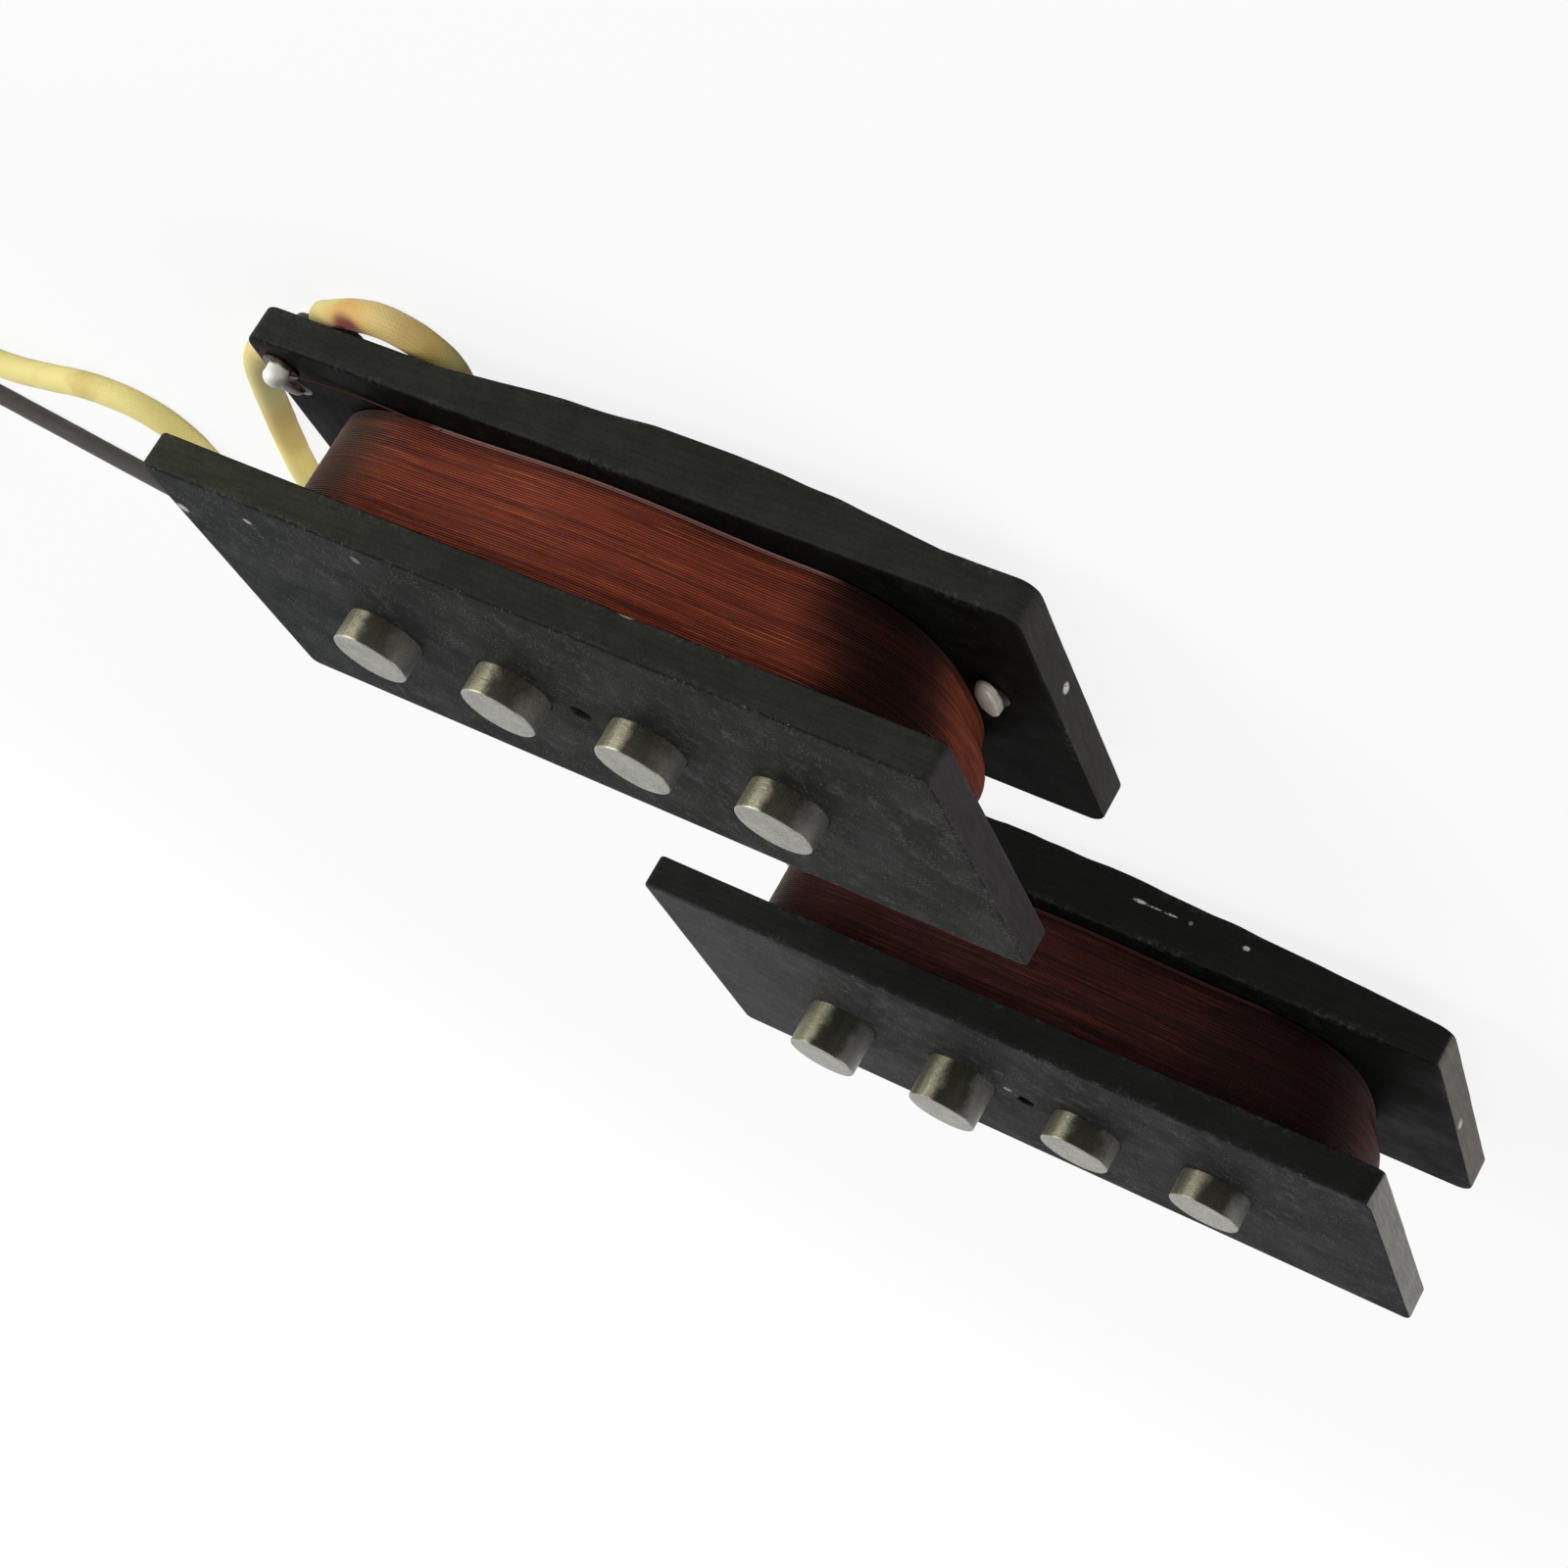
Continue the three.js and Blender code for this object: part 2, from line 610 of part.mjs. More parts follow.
const raisesA = [0, 0, 0, 0];
const raisesB = [magnetRaise, magnetRaise, 0, 0];
addHalf('half_a', -halfShiftX, halfShiftY, farEyeletX, raisesA, 'finish', bellyDepthA, bellyPlaceSharesA);
addHalf('half_b', halfShiftX, -halfShiftY, leadEyeletX, raisesB, 'start', bellyDepthB, bellyPlaceSharesB);

const yellowFree = addLead('yellow_lead', yellowRoute, yellowDiameter, yellowSteps, yellowCloth);
const yellowWound = addLeadCoil('yellow_lead', {
	x: yellowCoilX,
	y: yellowCoilY,
	radius: yellowCoilRadius,
	turns: yellowTurns,
	startAngle: yellowStartAngle,
	way: -1,
	diameter: yellowDiameter,
}, { diameter: yellowTipDiameter, length: yellowTipLength }, yellowCloth);
const blackFree = addLead('black_lead', blackRoute, blackDiameter, blackSteps, blackCloth);
const blackWound = addLeadCoil('black_lead', {
	x: blackCoilX,
	y: blackCoilY,
	radius: blackCoilRadius,
	turns: blackTurns,
	startAngle: blackStartAngle,
	way: 1,
	diameter: blackDiameter,
}, { diameter: blackTipDiameter, length: blackTipLength }, blackCloth);
console.log(`yellow_lead: ${(yellowFree + yellowWound).toFixed(1)} mm long in all`);
console.log(`black_lead: ${(blackFree + blackWound).toFixed(1)} mm long in all`);

export default pickup;
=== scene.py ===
"""Looks of a split-coil bass pickup: plates, magnets, coils, solder and leads, on a lit floor."""
import math

import bmesh
import bpy
from bpy.props import FloatProperty, FloatVectorProperty, IntProperty, PointerProperty
from mathutils import Matrix, Vector, noise
from mathutils.geometry import delaunay_2d_cdt


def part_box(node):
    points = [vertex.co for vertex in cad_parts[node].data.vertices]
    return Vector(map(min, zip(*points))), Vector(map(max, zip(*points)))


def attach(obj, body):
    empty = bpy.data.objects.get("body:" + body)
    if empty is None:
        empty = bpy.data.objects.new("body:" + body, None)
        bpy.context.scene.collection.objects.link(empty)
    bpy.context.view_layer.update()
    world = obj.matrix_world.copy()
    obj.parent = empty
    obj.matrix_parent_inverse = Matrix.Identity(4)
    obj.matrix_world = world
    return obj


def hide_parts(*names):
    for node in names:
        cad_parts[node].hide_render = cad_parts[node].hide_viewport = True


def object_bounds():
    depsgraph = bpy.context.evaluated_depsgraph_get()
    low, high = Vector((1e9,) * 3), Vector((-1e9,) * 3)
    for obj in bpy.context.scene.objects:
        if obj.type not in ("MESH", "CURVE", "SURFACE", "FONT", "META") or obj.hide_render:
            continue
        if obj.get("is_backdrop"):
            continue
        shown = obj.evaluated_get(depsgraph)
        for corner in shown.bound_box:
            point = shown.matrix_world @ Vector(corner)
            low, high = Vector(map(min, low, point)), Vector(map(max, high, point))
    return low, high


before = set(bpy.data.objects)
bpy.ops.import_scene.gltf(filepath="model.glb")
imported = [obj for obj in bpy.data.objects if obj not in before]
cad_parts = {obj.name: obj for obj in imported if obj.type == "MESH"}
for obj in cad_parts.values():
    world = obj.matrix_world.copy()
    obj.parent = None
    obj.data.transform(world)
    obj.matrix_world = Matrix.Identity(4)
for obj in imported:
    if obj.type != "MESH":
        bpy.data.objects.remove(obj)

bl_info = {
    "name": "Split-coil pickup",
    "version": (1, 0, 0),
    "blender": (4, 5, 0),
    "location": "3D View > Sidebar > Pickup",
    "description": "Builds the looks of a split-coil bass pickup round its packed frame",
    "category": "Object",
}

MM = 0.001
UP = Vector((0, 0, 1))
BODY = "root"
HALVES = ("half_a", "half_b")
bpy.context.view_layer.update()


def srgb(red, green, blue):
    """A colour as it shows on a screen, from 0 to 255, as the linear values that a shader takes."""
    def linear(value):
        share = value / 255
        return share / 12.92 if share <= 0.04045 else ((share + 0.055) / 1.055) ** 2.4
    return (linear(red), linear(green), linear(blue))


# Routes of the leads on the surface, from the solder that they leave to their put-away coils, in metres

YELLOW_ROUTE = [
    (-0.03265, 0.03244), (-0.0311, 0.0333), (-0.02935, 0.0342), (-0.0274, 0.03475), (-0.02545, 0.03435),
    (-0.024, 0.03305), (-0.02345, 0.0311), (-0.02395, 0.02915), (-0.0254, 0.02775), (-0.0274, 0.0272),
    (-0.031, 0.0269), (-0.0352, 0.0265), (-0.0384, 0.0261), (-0.0404, 0.0254), (-0.0419, 0.0244),
    (-0.0429, 0.0232), (-0.0437, 0.0218), (-0.04475, 0.019), (-0.0459, 0.0153), (-0.0473, 0.0106),
    (-0.0485, 0.0058), (-0.049, 0.002), (-0.0494, -0.0016), (-0.0509, -0.0048), (-0.0539, -0.0068),
    (-0.0574, -0.0063), (-0.0599, -0.0039), (-0.06095, -0.0007), (-0.0613, 0.0022), (-0.0624, 0.0042),
    (-0.0645, 0.00545), (-0.0674, 0.0057), (-0.0704, 0.00525), (-0.0738, 0.0042), (-0.079, 0.003),
    (-0.0845, 0.0032), (-0.0884, 0.0044), (-0.0912, 0.005), (-0.0937, 0.0051),
]
BLACK_ROUTE = [
    (-0.01615, -0.02345), (-0.0186, -0.02345), (-0.0225, -0.02325), (-0.028, -0.0224), (-0.035, -0.0209),
    (-0.044, -0.01855), (-0.054, -0.01555), (-0.064, -0.0123), (-0.074, -0.00885), (-0.0803, -0.00655),
    (-0.088, -0.00375), (-0.095, -0.0012), (-0.10185, 0.00127),
]

# Stains on the yellow cloth: centre and reach in metres, colour and strength

YELLOW_STAINS = [
    ((-0.0288, 0.0346, 0.0016), (0.0028, 0.0022, 0.0022), "scorched", 0.7),
    ((-0.0289, 0.0344, 0.0020), (0.0021, 0.0012, 0.0012), "burnt", 1.0),
    ((-0.0245, 0.0342, 0.0015), (0.0024, 0.0030, 0.0030), "scorched", 0.45),
    ((-0.0466, 0.0106, 0.0010), (0.0050, 0.0080, 0.0030), "bright", 0.55),
    ((-0.0262, 0.0345, 0.0010), (0.0030, 0.0020, 0.0020), "soaked", 0.7),
    ((-0.0462, 0.0135, 0.0010), (0.0030, 0.0060, 0.0020), "yellow_stain", 0.5),
]

# Put-away coils: middle on the surface, angle in degrees at which the lead comes in, and the way round

COILS = {"yellow": ((-0.096, 0.0186), -90, -1), "black": ((-0.1074, -0.00885), 70, 1)}

# The share of a turn, from where the lead comes in, at which a coil is tied

TIE_SHARE = 0.5

# Other sizes of the object

CENTRE_HOLE_RADIUS = 0.75 * MM
EYELET_HOLE_RADIUS = 0.68 * MM
EYELETS = ("finish", "start")
GLINT_REACH = (-13 * MM, 16 * MM)

# How far the flux has run on the bottom plate round each eyelet, and how strongly it colours the fibre

FLUX_REACHES = {"finish": (2.4 * MM, 2.4 * MM, 0.6 * MM), "start": (2.6 * MM, 2.6 * MM, 0.6 * MM)}
FLUX_STRENGTH = 0.85

# The share of a plate's length in which its lead end's colours go over into the rest

LEAD_END_SHARE = 0.45

# Waves a metre of the slow ripple on sawn edges and swollen undersides

RIPPLES = 420.0


# Sizes and colours that a user would change

def length_value(label, note, millimetres):
    """A length property, shown in the scene's units."""
    return FloatProperty(name=label, description=note, default=millimetres * MM, precision=5, unit="LENGTH")


def number_value(label, note, number):
    """A property that is a plain number."""
    return FloatProperty(name=label, description=note, default=number)


def count_value(label, note, count):
    """A property that is a count."""
    return IntProperty(name=label, description=note, default=count)


def colour_value(label, note, *levels):
    """A colour property, given as it shows on a screen."""
    return FloatVectorProperty(name=label, description=note, size=3, min=0, max=1, subtype="COLOR",
                               default=srgb(*levels))


def way_value(label, note, *parts):
    """A property that is a direction in the scene."""
    return FloatVectorProperty(name=label, description=note, size=3, subtype="DIRECTION", default=parts)


class StageSettings(bpy.types.PropertyGroup):
    """The camera, the lights and the floor"""
    lens: number_value("Lens", "Focal length on a 36 mm sensor, in millimetres", 69.717)
    place: FloatVectorProperty(name="Camera place", description="Where the camera stands", size=3,
                               subtype="TRANSLATION", unit="LENGTH", default=(0.07854, 0.168, 0.05796))
    ahead: way_value("Camera direction", "The way the camera looks", -0.43815, -0.86011, -0.26124)
    above: way_value("Picture's top", "The way that is up in the picture", -0.34499, 0.42926, -0.83469)
    sky: number_value("Sky strength", "Strength of the even light from all round", 0.5)
    key: number_value("Key light", "Power of the large soft light, in watts", 1.4)
    fill: number_value("Fill light", "Power of the light from the far end, in watts", 0.7)
    floor_colour: colour_value("Floor", "Colour of the floor", 238, 238, 236)


class PlateSettings(bpy.types.PropertyGroup):
    """The black fibre plates"""
    rounding: length_value("Edge rounding", "Radius on the plates' long edges", 0.22)
    hole_rounding: length_value("Hole rounding", "Radius on the edges of the holes", 0.1)
    saw_wander: length_value("Saw wander", "How far a sawn edge strays from straight", 0.03)
    press_gap: length_value("Press gap", "Gap between a magnet and its hole", 0.02)
    corner_top: length_value("Top plate's corners", "Radius of the top plates' corners", 0.6)
    corner_bottom: length_value("Bottom plate's corners", "Radius of the bottom plates' corners", 1.3)
    belly_a: length_value("Belly of half A", "How far the underside of half A has swollen", 1.1)
    belly_b: length_value("Belly of half B", "How far the underside of half B has swollen", 1.6)
    near_a: colour_value("Lead end of half A", "Colour of half A's faces at the leads", 23, 25, 26)
    far_a: colour_value("Far end of half A", "Colour of half A's faces away from the leads", 21, 21, 20)
    near_b: colour_value("Lead end of half B", "Colour of half B's faces at the leads", 52, 51, 51)
    far_b: colour_value("Far end of half B", "Colour of half B's faces away from the leads", 24, 23, 24)
    side_near_a: colour_value("Lead-end sides of half A", "Colour of its long sides at the leads", 48, 49, 40)
    side_far_a: colour_value("Sides of half A", "Colour of the rest of its long sides", 39, 39, 35)
    # Half B's long sides are painted darker: painted shade for the shadow that half A casts on them
    side_near_b: colour_value("Lead-end sides of half B", "Colour of its long sides at the leads", 36, 36, 34)
    side_far_b: colour_value("Sides of half B", "Colour of the rest of its long sides", 25, 25, 23)
    sawn_top_a: colour_value("Sawn top of half A", "Colour of its top plate's sawn ends", 50, 46, 48)
    sawn_bottom_a: colour_value("Sawn bottom of half A", "Colour of its other sawn ends", 50, 49, 47)
    # Half B's sawn ends are paler than half A's: a paler end grain, with a painted reflection on half B
    sawn_top_b: colour_value("Sawn top of half B", "Colour of its top plate's sawn ends", 117, 116, 112)
    sawn_bottom_b: colour_value("Sawn bottom of half B", "Colour of its other sawn ends", 96, 93, 88)
    # Painted shade: the faces towards the coil are painted near black, as they lie in the shade of the plates
    # and the coil
    lacquered: colour_value("Lacquered faces", "Colour of the faces towards the coil", 7, 7, 6)
    smudge: colour_value("Smudges", "Colour of the pale smudges", 70, 72, 69)
    worn: colour_value("Worn fibre", "Colour of worn edges and specks", 124, 122, 116)


class MagnetSettings(bpy.types.PropertyGroup):
    """The rod magnets"""
    chamfer: length_value("Chamfer", "Width of the chamfer round a pole", 0.16)
    sides: count_value("Sides", "Sides of a rod", 72)
    ground_a: colour_value("Ground ends of half A", "Colour of the ends of half A's rods", 148, 147, 140)
    ground_b: colour_value("Ground ends of half B", "Colour of the ends of half B's rods", 154, 153, 147)
    cast_a: colour_value("Cast sides of half A", "Colour of the sides of half A's rods", 146, 142, 119)
    cast_b: colour_value("Cast sides of half B", "Colour of the sides of half B's rods", 114, 112, 92)
    # Painted shade: how bright the side of a rod that is turned away from the key light is painted
    tarnish: number_value("Tarnish", "How bright a rod's tarnished side still is", 0.15)


class CoilSettings(bpy.types.PropertyGroup):
    """The wound coils"""
    wire: length_value("Wire", "Diameter of the wound wire", 0.15)
    points: count_value("Points in a turn", "Points round one turn of wire", 112)
    unevenness: number_value("Unevenness", "How far a turn strays, in wire diameters", 0.35)
    bulge: length_value("Bulge", "How far the coil's long sides swell", 0.9)
    fullness: number_value("Far end's fullness", "How full the far end's shoulders are wound", 0.09)
    draw_in: length_value("Draw-in", "How far the far end is drawn in at the bottom plate", 1.8)
    draw_height: length_value("Draw-in height", "Height above the bottom plate where it ends", 3.6)
    dark_a: colour_value("Dark wire of half A", "Colour of its wire in the dark streaks", 92, 38, 27)
    warm_a: colour_value("Warm wire of half A", "Colour of most of its wire", 120, 54, 37)
    # Painted sheen: the bright colours paint the enamel's sheen in streaks
    bright_a: colour_value("Bright wire of half A", "Colour of its wire in the bright streaks", 142, 71, 46)
    # Half B's wire is painted darker than half A's: painted shade for the shadow that half A casts on it
    dark_b: colour_value("Dark wire of half B", "Colour of its wire in the dark streaks", 40, 20, 19)
    warm_b: colour_value("Warm wire of half B", "Colour of most of its wire", 62, 29, 26)
    bright_b: colour_value("Bright wire of half B", "Colour of its wire in the bright streaks", 84, 42, 34)
    # Painted shade and lacquer: the darkest patches, which are painted shade on half A's far end, and the
    # colour of the hidden inner layers
    shellac_and_shade: colour_value("Shellac", "Colour where the lacquer lies thick and dark", 26, 11, 9)
    resin: colour_value("Resin", "Colour of the brown resin at the lead ends", 54, 42, 32)
    # Painted highlight: the colour of the lowest turn, painted as catching the light
    glint_a: colour_value("Edge turn of half A", "Colour of the pale turn at its foot", 140, 100, 94)
    glint_b: colour_value("Edge turn of half B", "Colour of the pale turn at its foot", 74, 44, 38)


class SolderSettings(bpy.types.PropertyGroup):
    """The solder, the eyelets and the flux"""
    tin: colour_value("Tin", "Colour of the solder", 250, 249, 238)
    dull_tin: colour_value("Dull tin", "Colour of the beads at the far ends", 180, 172, 163)
    brass: colour_value("Eyelet", "Colour of the eyelets, stained by the flux", 88, 76, 60)
    flux: colour_value("Flux", "Colour of the burnt flux", 24, 16, 13)
    amber: colour_value("Thin flux", "Colour of the flux where it is thin", 66, 22, 13)


class LeadSettings(bpy.types.PropertyGroup):
    """The cloth-covered leads and their ties"""
    yellow_turns: count_value("Yellow turns", "Turns of the put-away yellow coil", 2)
    yellow_radius: length_value("Yellow coil", "Radius of the outside turn", 13.5)
    black_turns: count_value("Black turns", "Turns of the put-away black coil", 3)
    black_radius: length_value("Black coil", "Radius of the outside turn", 11.4)
    turn_gap: length_value("Turn gap", "Gap between two turns of a coil", 0.46)
    thread: length_value("Tie thread", "Diameter of the thread that ties a coil", 0.36)
    thread_turns: count_value("Thread turns", "Times that the thread goes round", 4)
    yellow: colour_value("Yellow cloth", "Colour of the yellow cloth", 226, 212, 132)
    yellow_stain: colour_value("Wax stains", "Colour of the brown patches on it", 184, 146, 66)
    burnt: colour_value("Burnt cloth", "Colour of the yellow cloth where the iron burnt it", 104, 26, 10)
    scorched: colour_value("Scorched cloth", "Colour of the yellow cloth round the burn", 202, 140, 52)
    soaked: colour_value("Soaked cloth", "Colour of the yellow cloth that drew in wax", 208, 178, 112)
    bright: colour_value("Bright cloth", "Colour of the yellow cloth where it is clean", 244, 216, 104)
    black: colour_value("Black cloth", "Colour of the black cloth", 52, 47, 42)
    faded: colour_value("Faded cloth", "Colour of the pale patches on the black cloth", 92, 86, 74)
    cotton: colour_value("Cotton", "Colour of the tie's thread", 224, 220, 206)
    tinned: colour_value("Tinned strands", "Colour of the leads' bare ends", 200, 196, 186)


class PickupSettings(bpy.types.PropertyGroup):
    """All the sizes and colours of the pickup"""
    stage: PointerProperty(type=StageSettings)
    plates: PointerProperty(type=PlateSettings)
    magnets: PointerProperty(type=MagnetSettings)
    coils: PointerProperty(type=CoilSettings)
    solder: PointerProperty(type=SolderSettings)
    leads: PointerProperty(type=LeadSettings)


# Nodes

def put(tree, kind, values=None, **settings):
    """Adds a node with its settings, and fills or links its inputs, which are given by name or number."""
    node = tree.nodes.new(kind)
    for name, value in settings.items():
        setattr(node, name, value)
    for key, value in (values or {}).items():
        fill(node.inputs[key], value)
    return node


def fill(socket, value):
    """Links an input to another node's output, or sets its own value."""
    if isinstance(value, bpy.types.NodeSocket):
        socket.id_data.links.new(value, socket)
    else:
        socket.default_value = value


def after(kind, values, **settings):
    """Adds a node to the tree that the first linked one of its inputs comes from."""
    tree = next(value.id_data for value in values.values() if isinstance(value, bpy.types.NodeSocket))
    return put(tree, kind, values, **settings)


def result(kind, values, **settings):
    """The first output of a node that is added so."""
    return after(kind, values, **settings).outputs[0]


def reckoned(operation, *values):
    """The result of one Math node."""
    return result("ShaderNodeMath", dict(enumerate(values)), operation=operation)


def times(product, *others):
    """The product of two values or more."""
    for value in others:
        product = reckoned("MULTIPLY", product, value)
    return product


def vector_reckoned(operation, *vectors, **values):
    """The result of one Vector Math node, which is a number for a length or a dot product."""
    node = after("ShaderNodeVectorMath", {**dict(enumerate(vectors)), **values}, operation=operation)
    return node.outputs["Value" if operation in ("LENGTH", "DOT_PRODUCT") else "Vector"]


def parts_of(vector):
    """The three parts of a vector."""
    return after("ShaderNodeSeparateXYZ", {0: vector}).outputs


def vector_of(*parts):
    """A vector from its three parts."""
    return result("ShaderNodeCombineXYZ", dict(enumerate(parts)))


def ramped(value, low, high, to_low=0.0, to_high=1.0):
    """A value carried smoothly from one range to another, and held at its ends."""
    sockets = {"Value": value, "From Min": low, "From Max": high, "To Min": to_low, "To Max": to_high}
    return result("ShaderNodeMapRange", sockets, interpolation_type="SMOOTHSTEP")


def spread(pattern, low, high):
    """The usual range of a noise pattern, carried to two values."""
    return ramped(pattern, 0.3, 0.7, low, high)


def opaque(colour):
    """A colour with its alpha, or the socket that it is."""
    return colour if isinstance(colour, bpy.types.NodeSocket) else (*colour[:3], 1.0)


def mixed(factor, first, second, blend_type="MIX"):
    """Two colours mixed by a factor."""
    sockets = {0: factor, 6: opaque(first), 7: opaque(second)}
    return after("ShaderNodeMix", sockets, data_type="RGBA", blend_type=blend_type).outputs[2]


def shaded(colour, value):
    """A colour made darker or lighter by a value that changes over the surface."""
    return mixed(1.0, colour, value, "MULTIPLY")


def blended(factor, first, second):
    """Two numbers mixed by a factor."""
    return result("ShaderNodeMix", {0: factor, 2: first, 3: second})


def dimmed(colour, share):
    """A colour made darker, or lighter up to white, by the same share all over."""
    return [min(1.0, share * part) for part in colour]


def grain(place, scale, detail=4.0, roughness=0.6):
    """A noise pattern, from 0 to 1, with about as many cells a metre as its scale."""
    sockets = {"Vector": place, "Scale": scale, "Detail": detail, "Roughness": roughness}
    return after("ShaderNodeTexNoise", sockets).outputs["Fac"]


def stretched(place, *scale):
    """A place scaled along its axes, so that a pattern on it stretches."""
    return result("ShaderNodeMapping", {"Vector": place, "Scale": scale})


def new_group(name, kind, inputs, outputs):
    """An empty node group with its named sockets, and the sockets of its two end nodes."""
    group = bpy.data.node_groups.new(name, kind)
    for label, sort, default in inputs:
        socket = group.interface.new_socket(name=label, in_out="INPUT", socket_type="NodeSocket" + sort)
        if default is not None:
            socket.default_value = default
    for label, sort in outputs:
        group.interface.new_socket(name=label, in_out="OUTPUT", socket_type="NodeSocket" + sort)
    return group, group.nodes.new("NodeGroupInput").outputs, group.nodes.new("NodeGroupOutput").inputs


def shared(maker):
    """A node group that is built once, under its maker's name."""
    return bpy.data.node_groups.get(maker.__name__) or maker()


def group_node(maker, values):
    """The outputs of a shared shader group, placed in a material with its own values."""
    return after("ShaderNodeGroup", values, node_tree=shared(maker)).outputs


# Shared shader groups

def speckle():
    """Group: light specks and scuffs on a dull surface, and a fine height."""
    tree, given, out = new_group("speckle", "ShaderNodeTree", [
        ("Place", "Vector", None),
        ("Size", "Float", 0.0002),
        ("Amount", "Float", 0.5),
    ], [("Mask", "Float"), ("Height", "Float")])
    scale = reckoned("DIVIDE", 1.0, given["Size"])
    fine = grain(given["Place"], scale, 3.0, 0.65)
    patches = grain(given["Place"], times(scale, 0.09), 3.0)
    specks = ramped(fine, 0.57, 0.66)
    cover = ramped(patches, 0.42, 0.6)
    fill(out["Mask"], times(specks, cover, given["Amount"]))
    fill(out["Height"], fine)
    return tree


def edge_wear():
    """Group: where an edge has rubbed, from a mark that is 1 on the edge and 0 away from it."""
    tree, given, out = new_group("edge_wear", "ShaderNodeTree", [
        ("Edge", "Float", 0.0),
        ("Place", "Vector", None),
        ("Amount", "Float", 0.5),
    ], [("Mask", "Float")])
    chips = ramped(grain(given["Place"], 2900.0, 5.0, 0.7), 0.46, 0.66)
    runs = ramped(grain(given["Place"], 170.0, 2.0, 0.5), 0.46, 0.62, 0.12)
    fill(out["Mask"], times(chips, runs, given["Edge"], given["Amount"]))
    return tree


def brushed():
    """Group: fine straight lines along one axis, from a place that is already stretched."""
    tree, given, out = new_group("brushed", "ShaderNodeTree", [
        ("Place", "Vector", None),
        ("Scale", "Float", 900.0),
    ], [("Lines", "Float")])
    lines = grain(given["Place"], given["Scale"], 5.0, 0.7)
    fill(out["Lines"], spread(lines, 0.0, 1.0))
    return tree


def braid():
    """Group: the over-and-under pattern of a round cloth braid, on coordinates with one unit a yarn."""
    tree, given, out = new_group("braid", "ShaderNodeTree", [
        ("Yarns", "Vector", None),
    ], [("Height", "Float")])
    across, along, _ = parts_of(given["Yarns"])
    ways = [reckoned(operation, across, along) for operation in ("ADD", "SUBTRACT")]
    yarns = [reckoned("ABSOLUTE", reckoned("SINE", times(way, math.pi))) for way in ways]
    squares = {"Vector": vector_of(*ways, 0.5), "Scale": 1.0}
    turn = after("ShaderNodeTexChecker", squares).outputs["Fac"]
    fill(out["Height"], blended(turn, *yarns))
    return tree


# Materials

def new_material(name):
    """A material, its tree and its surface shader."""
    material = bpy.data.materials.new(name)
    material.use_nodes = True
    tree = material.node_tree
    return material, tree, tree.nodes["Principled BSDF"]


def set_surface(shader, colour, roughness, height, strength=0.3, distance=0.05 * MM, **others):
    """Links what changes over the surface, and sets what is the same all over on the shader itself."""
    bump = after("ShaderNodeBump", {"Height": height, "Strength": strength, "Distance": distance})
    values = {"base_color": colour, "roughness": roughness, "normal": bump.outputs["Normal"], **others}
    for name, value in values.items():
        fill(shader.inputs[name.replace("_", " ").title().replace("Ior", "IOR")], value)


def object_place(tree):
    """The coordinates of the piece's own object, which are the frame's."""
    return put(tree, "ShaderNodeTexCoord").outputs["Object"]


def mark(tree, name, output="Fac"):
    """What a mesh carries under a name."""
    return put(tree, "ShaderNodeAttribute", attribute_name=name).outputs[output]


def facing(tree, axis):
    """How squarely a surface faces along an axis, from -1 to 1."""
    return vector_reckoned("DOT_PRODUCT", put(tree, "ShaderNodeNewGeometry").outputs["Normal"], axis)


def levelness(tree):
    """How level a surface lies, from 0 to 1."""
    return reckoned("ABSOLUTE", facing(tree, UP))


def near(place, centre, reach, strength=1.0):
    """A strength at a point and 0 past its reach, which differs along each axis."""
    offset = vector_reckoned("SUBTRACT", place, centre)
    distance = vector_reckoned("LENGTH", vector_reckoned("DIVIDE", offset, reach))
    return ramped(distance, 1.0, 0.4, 0.0, strength)


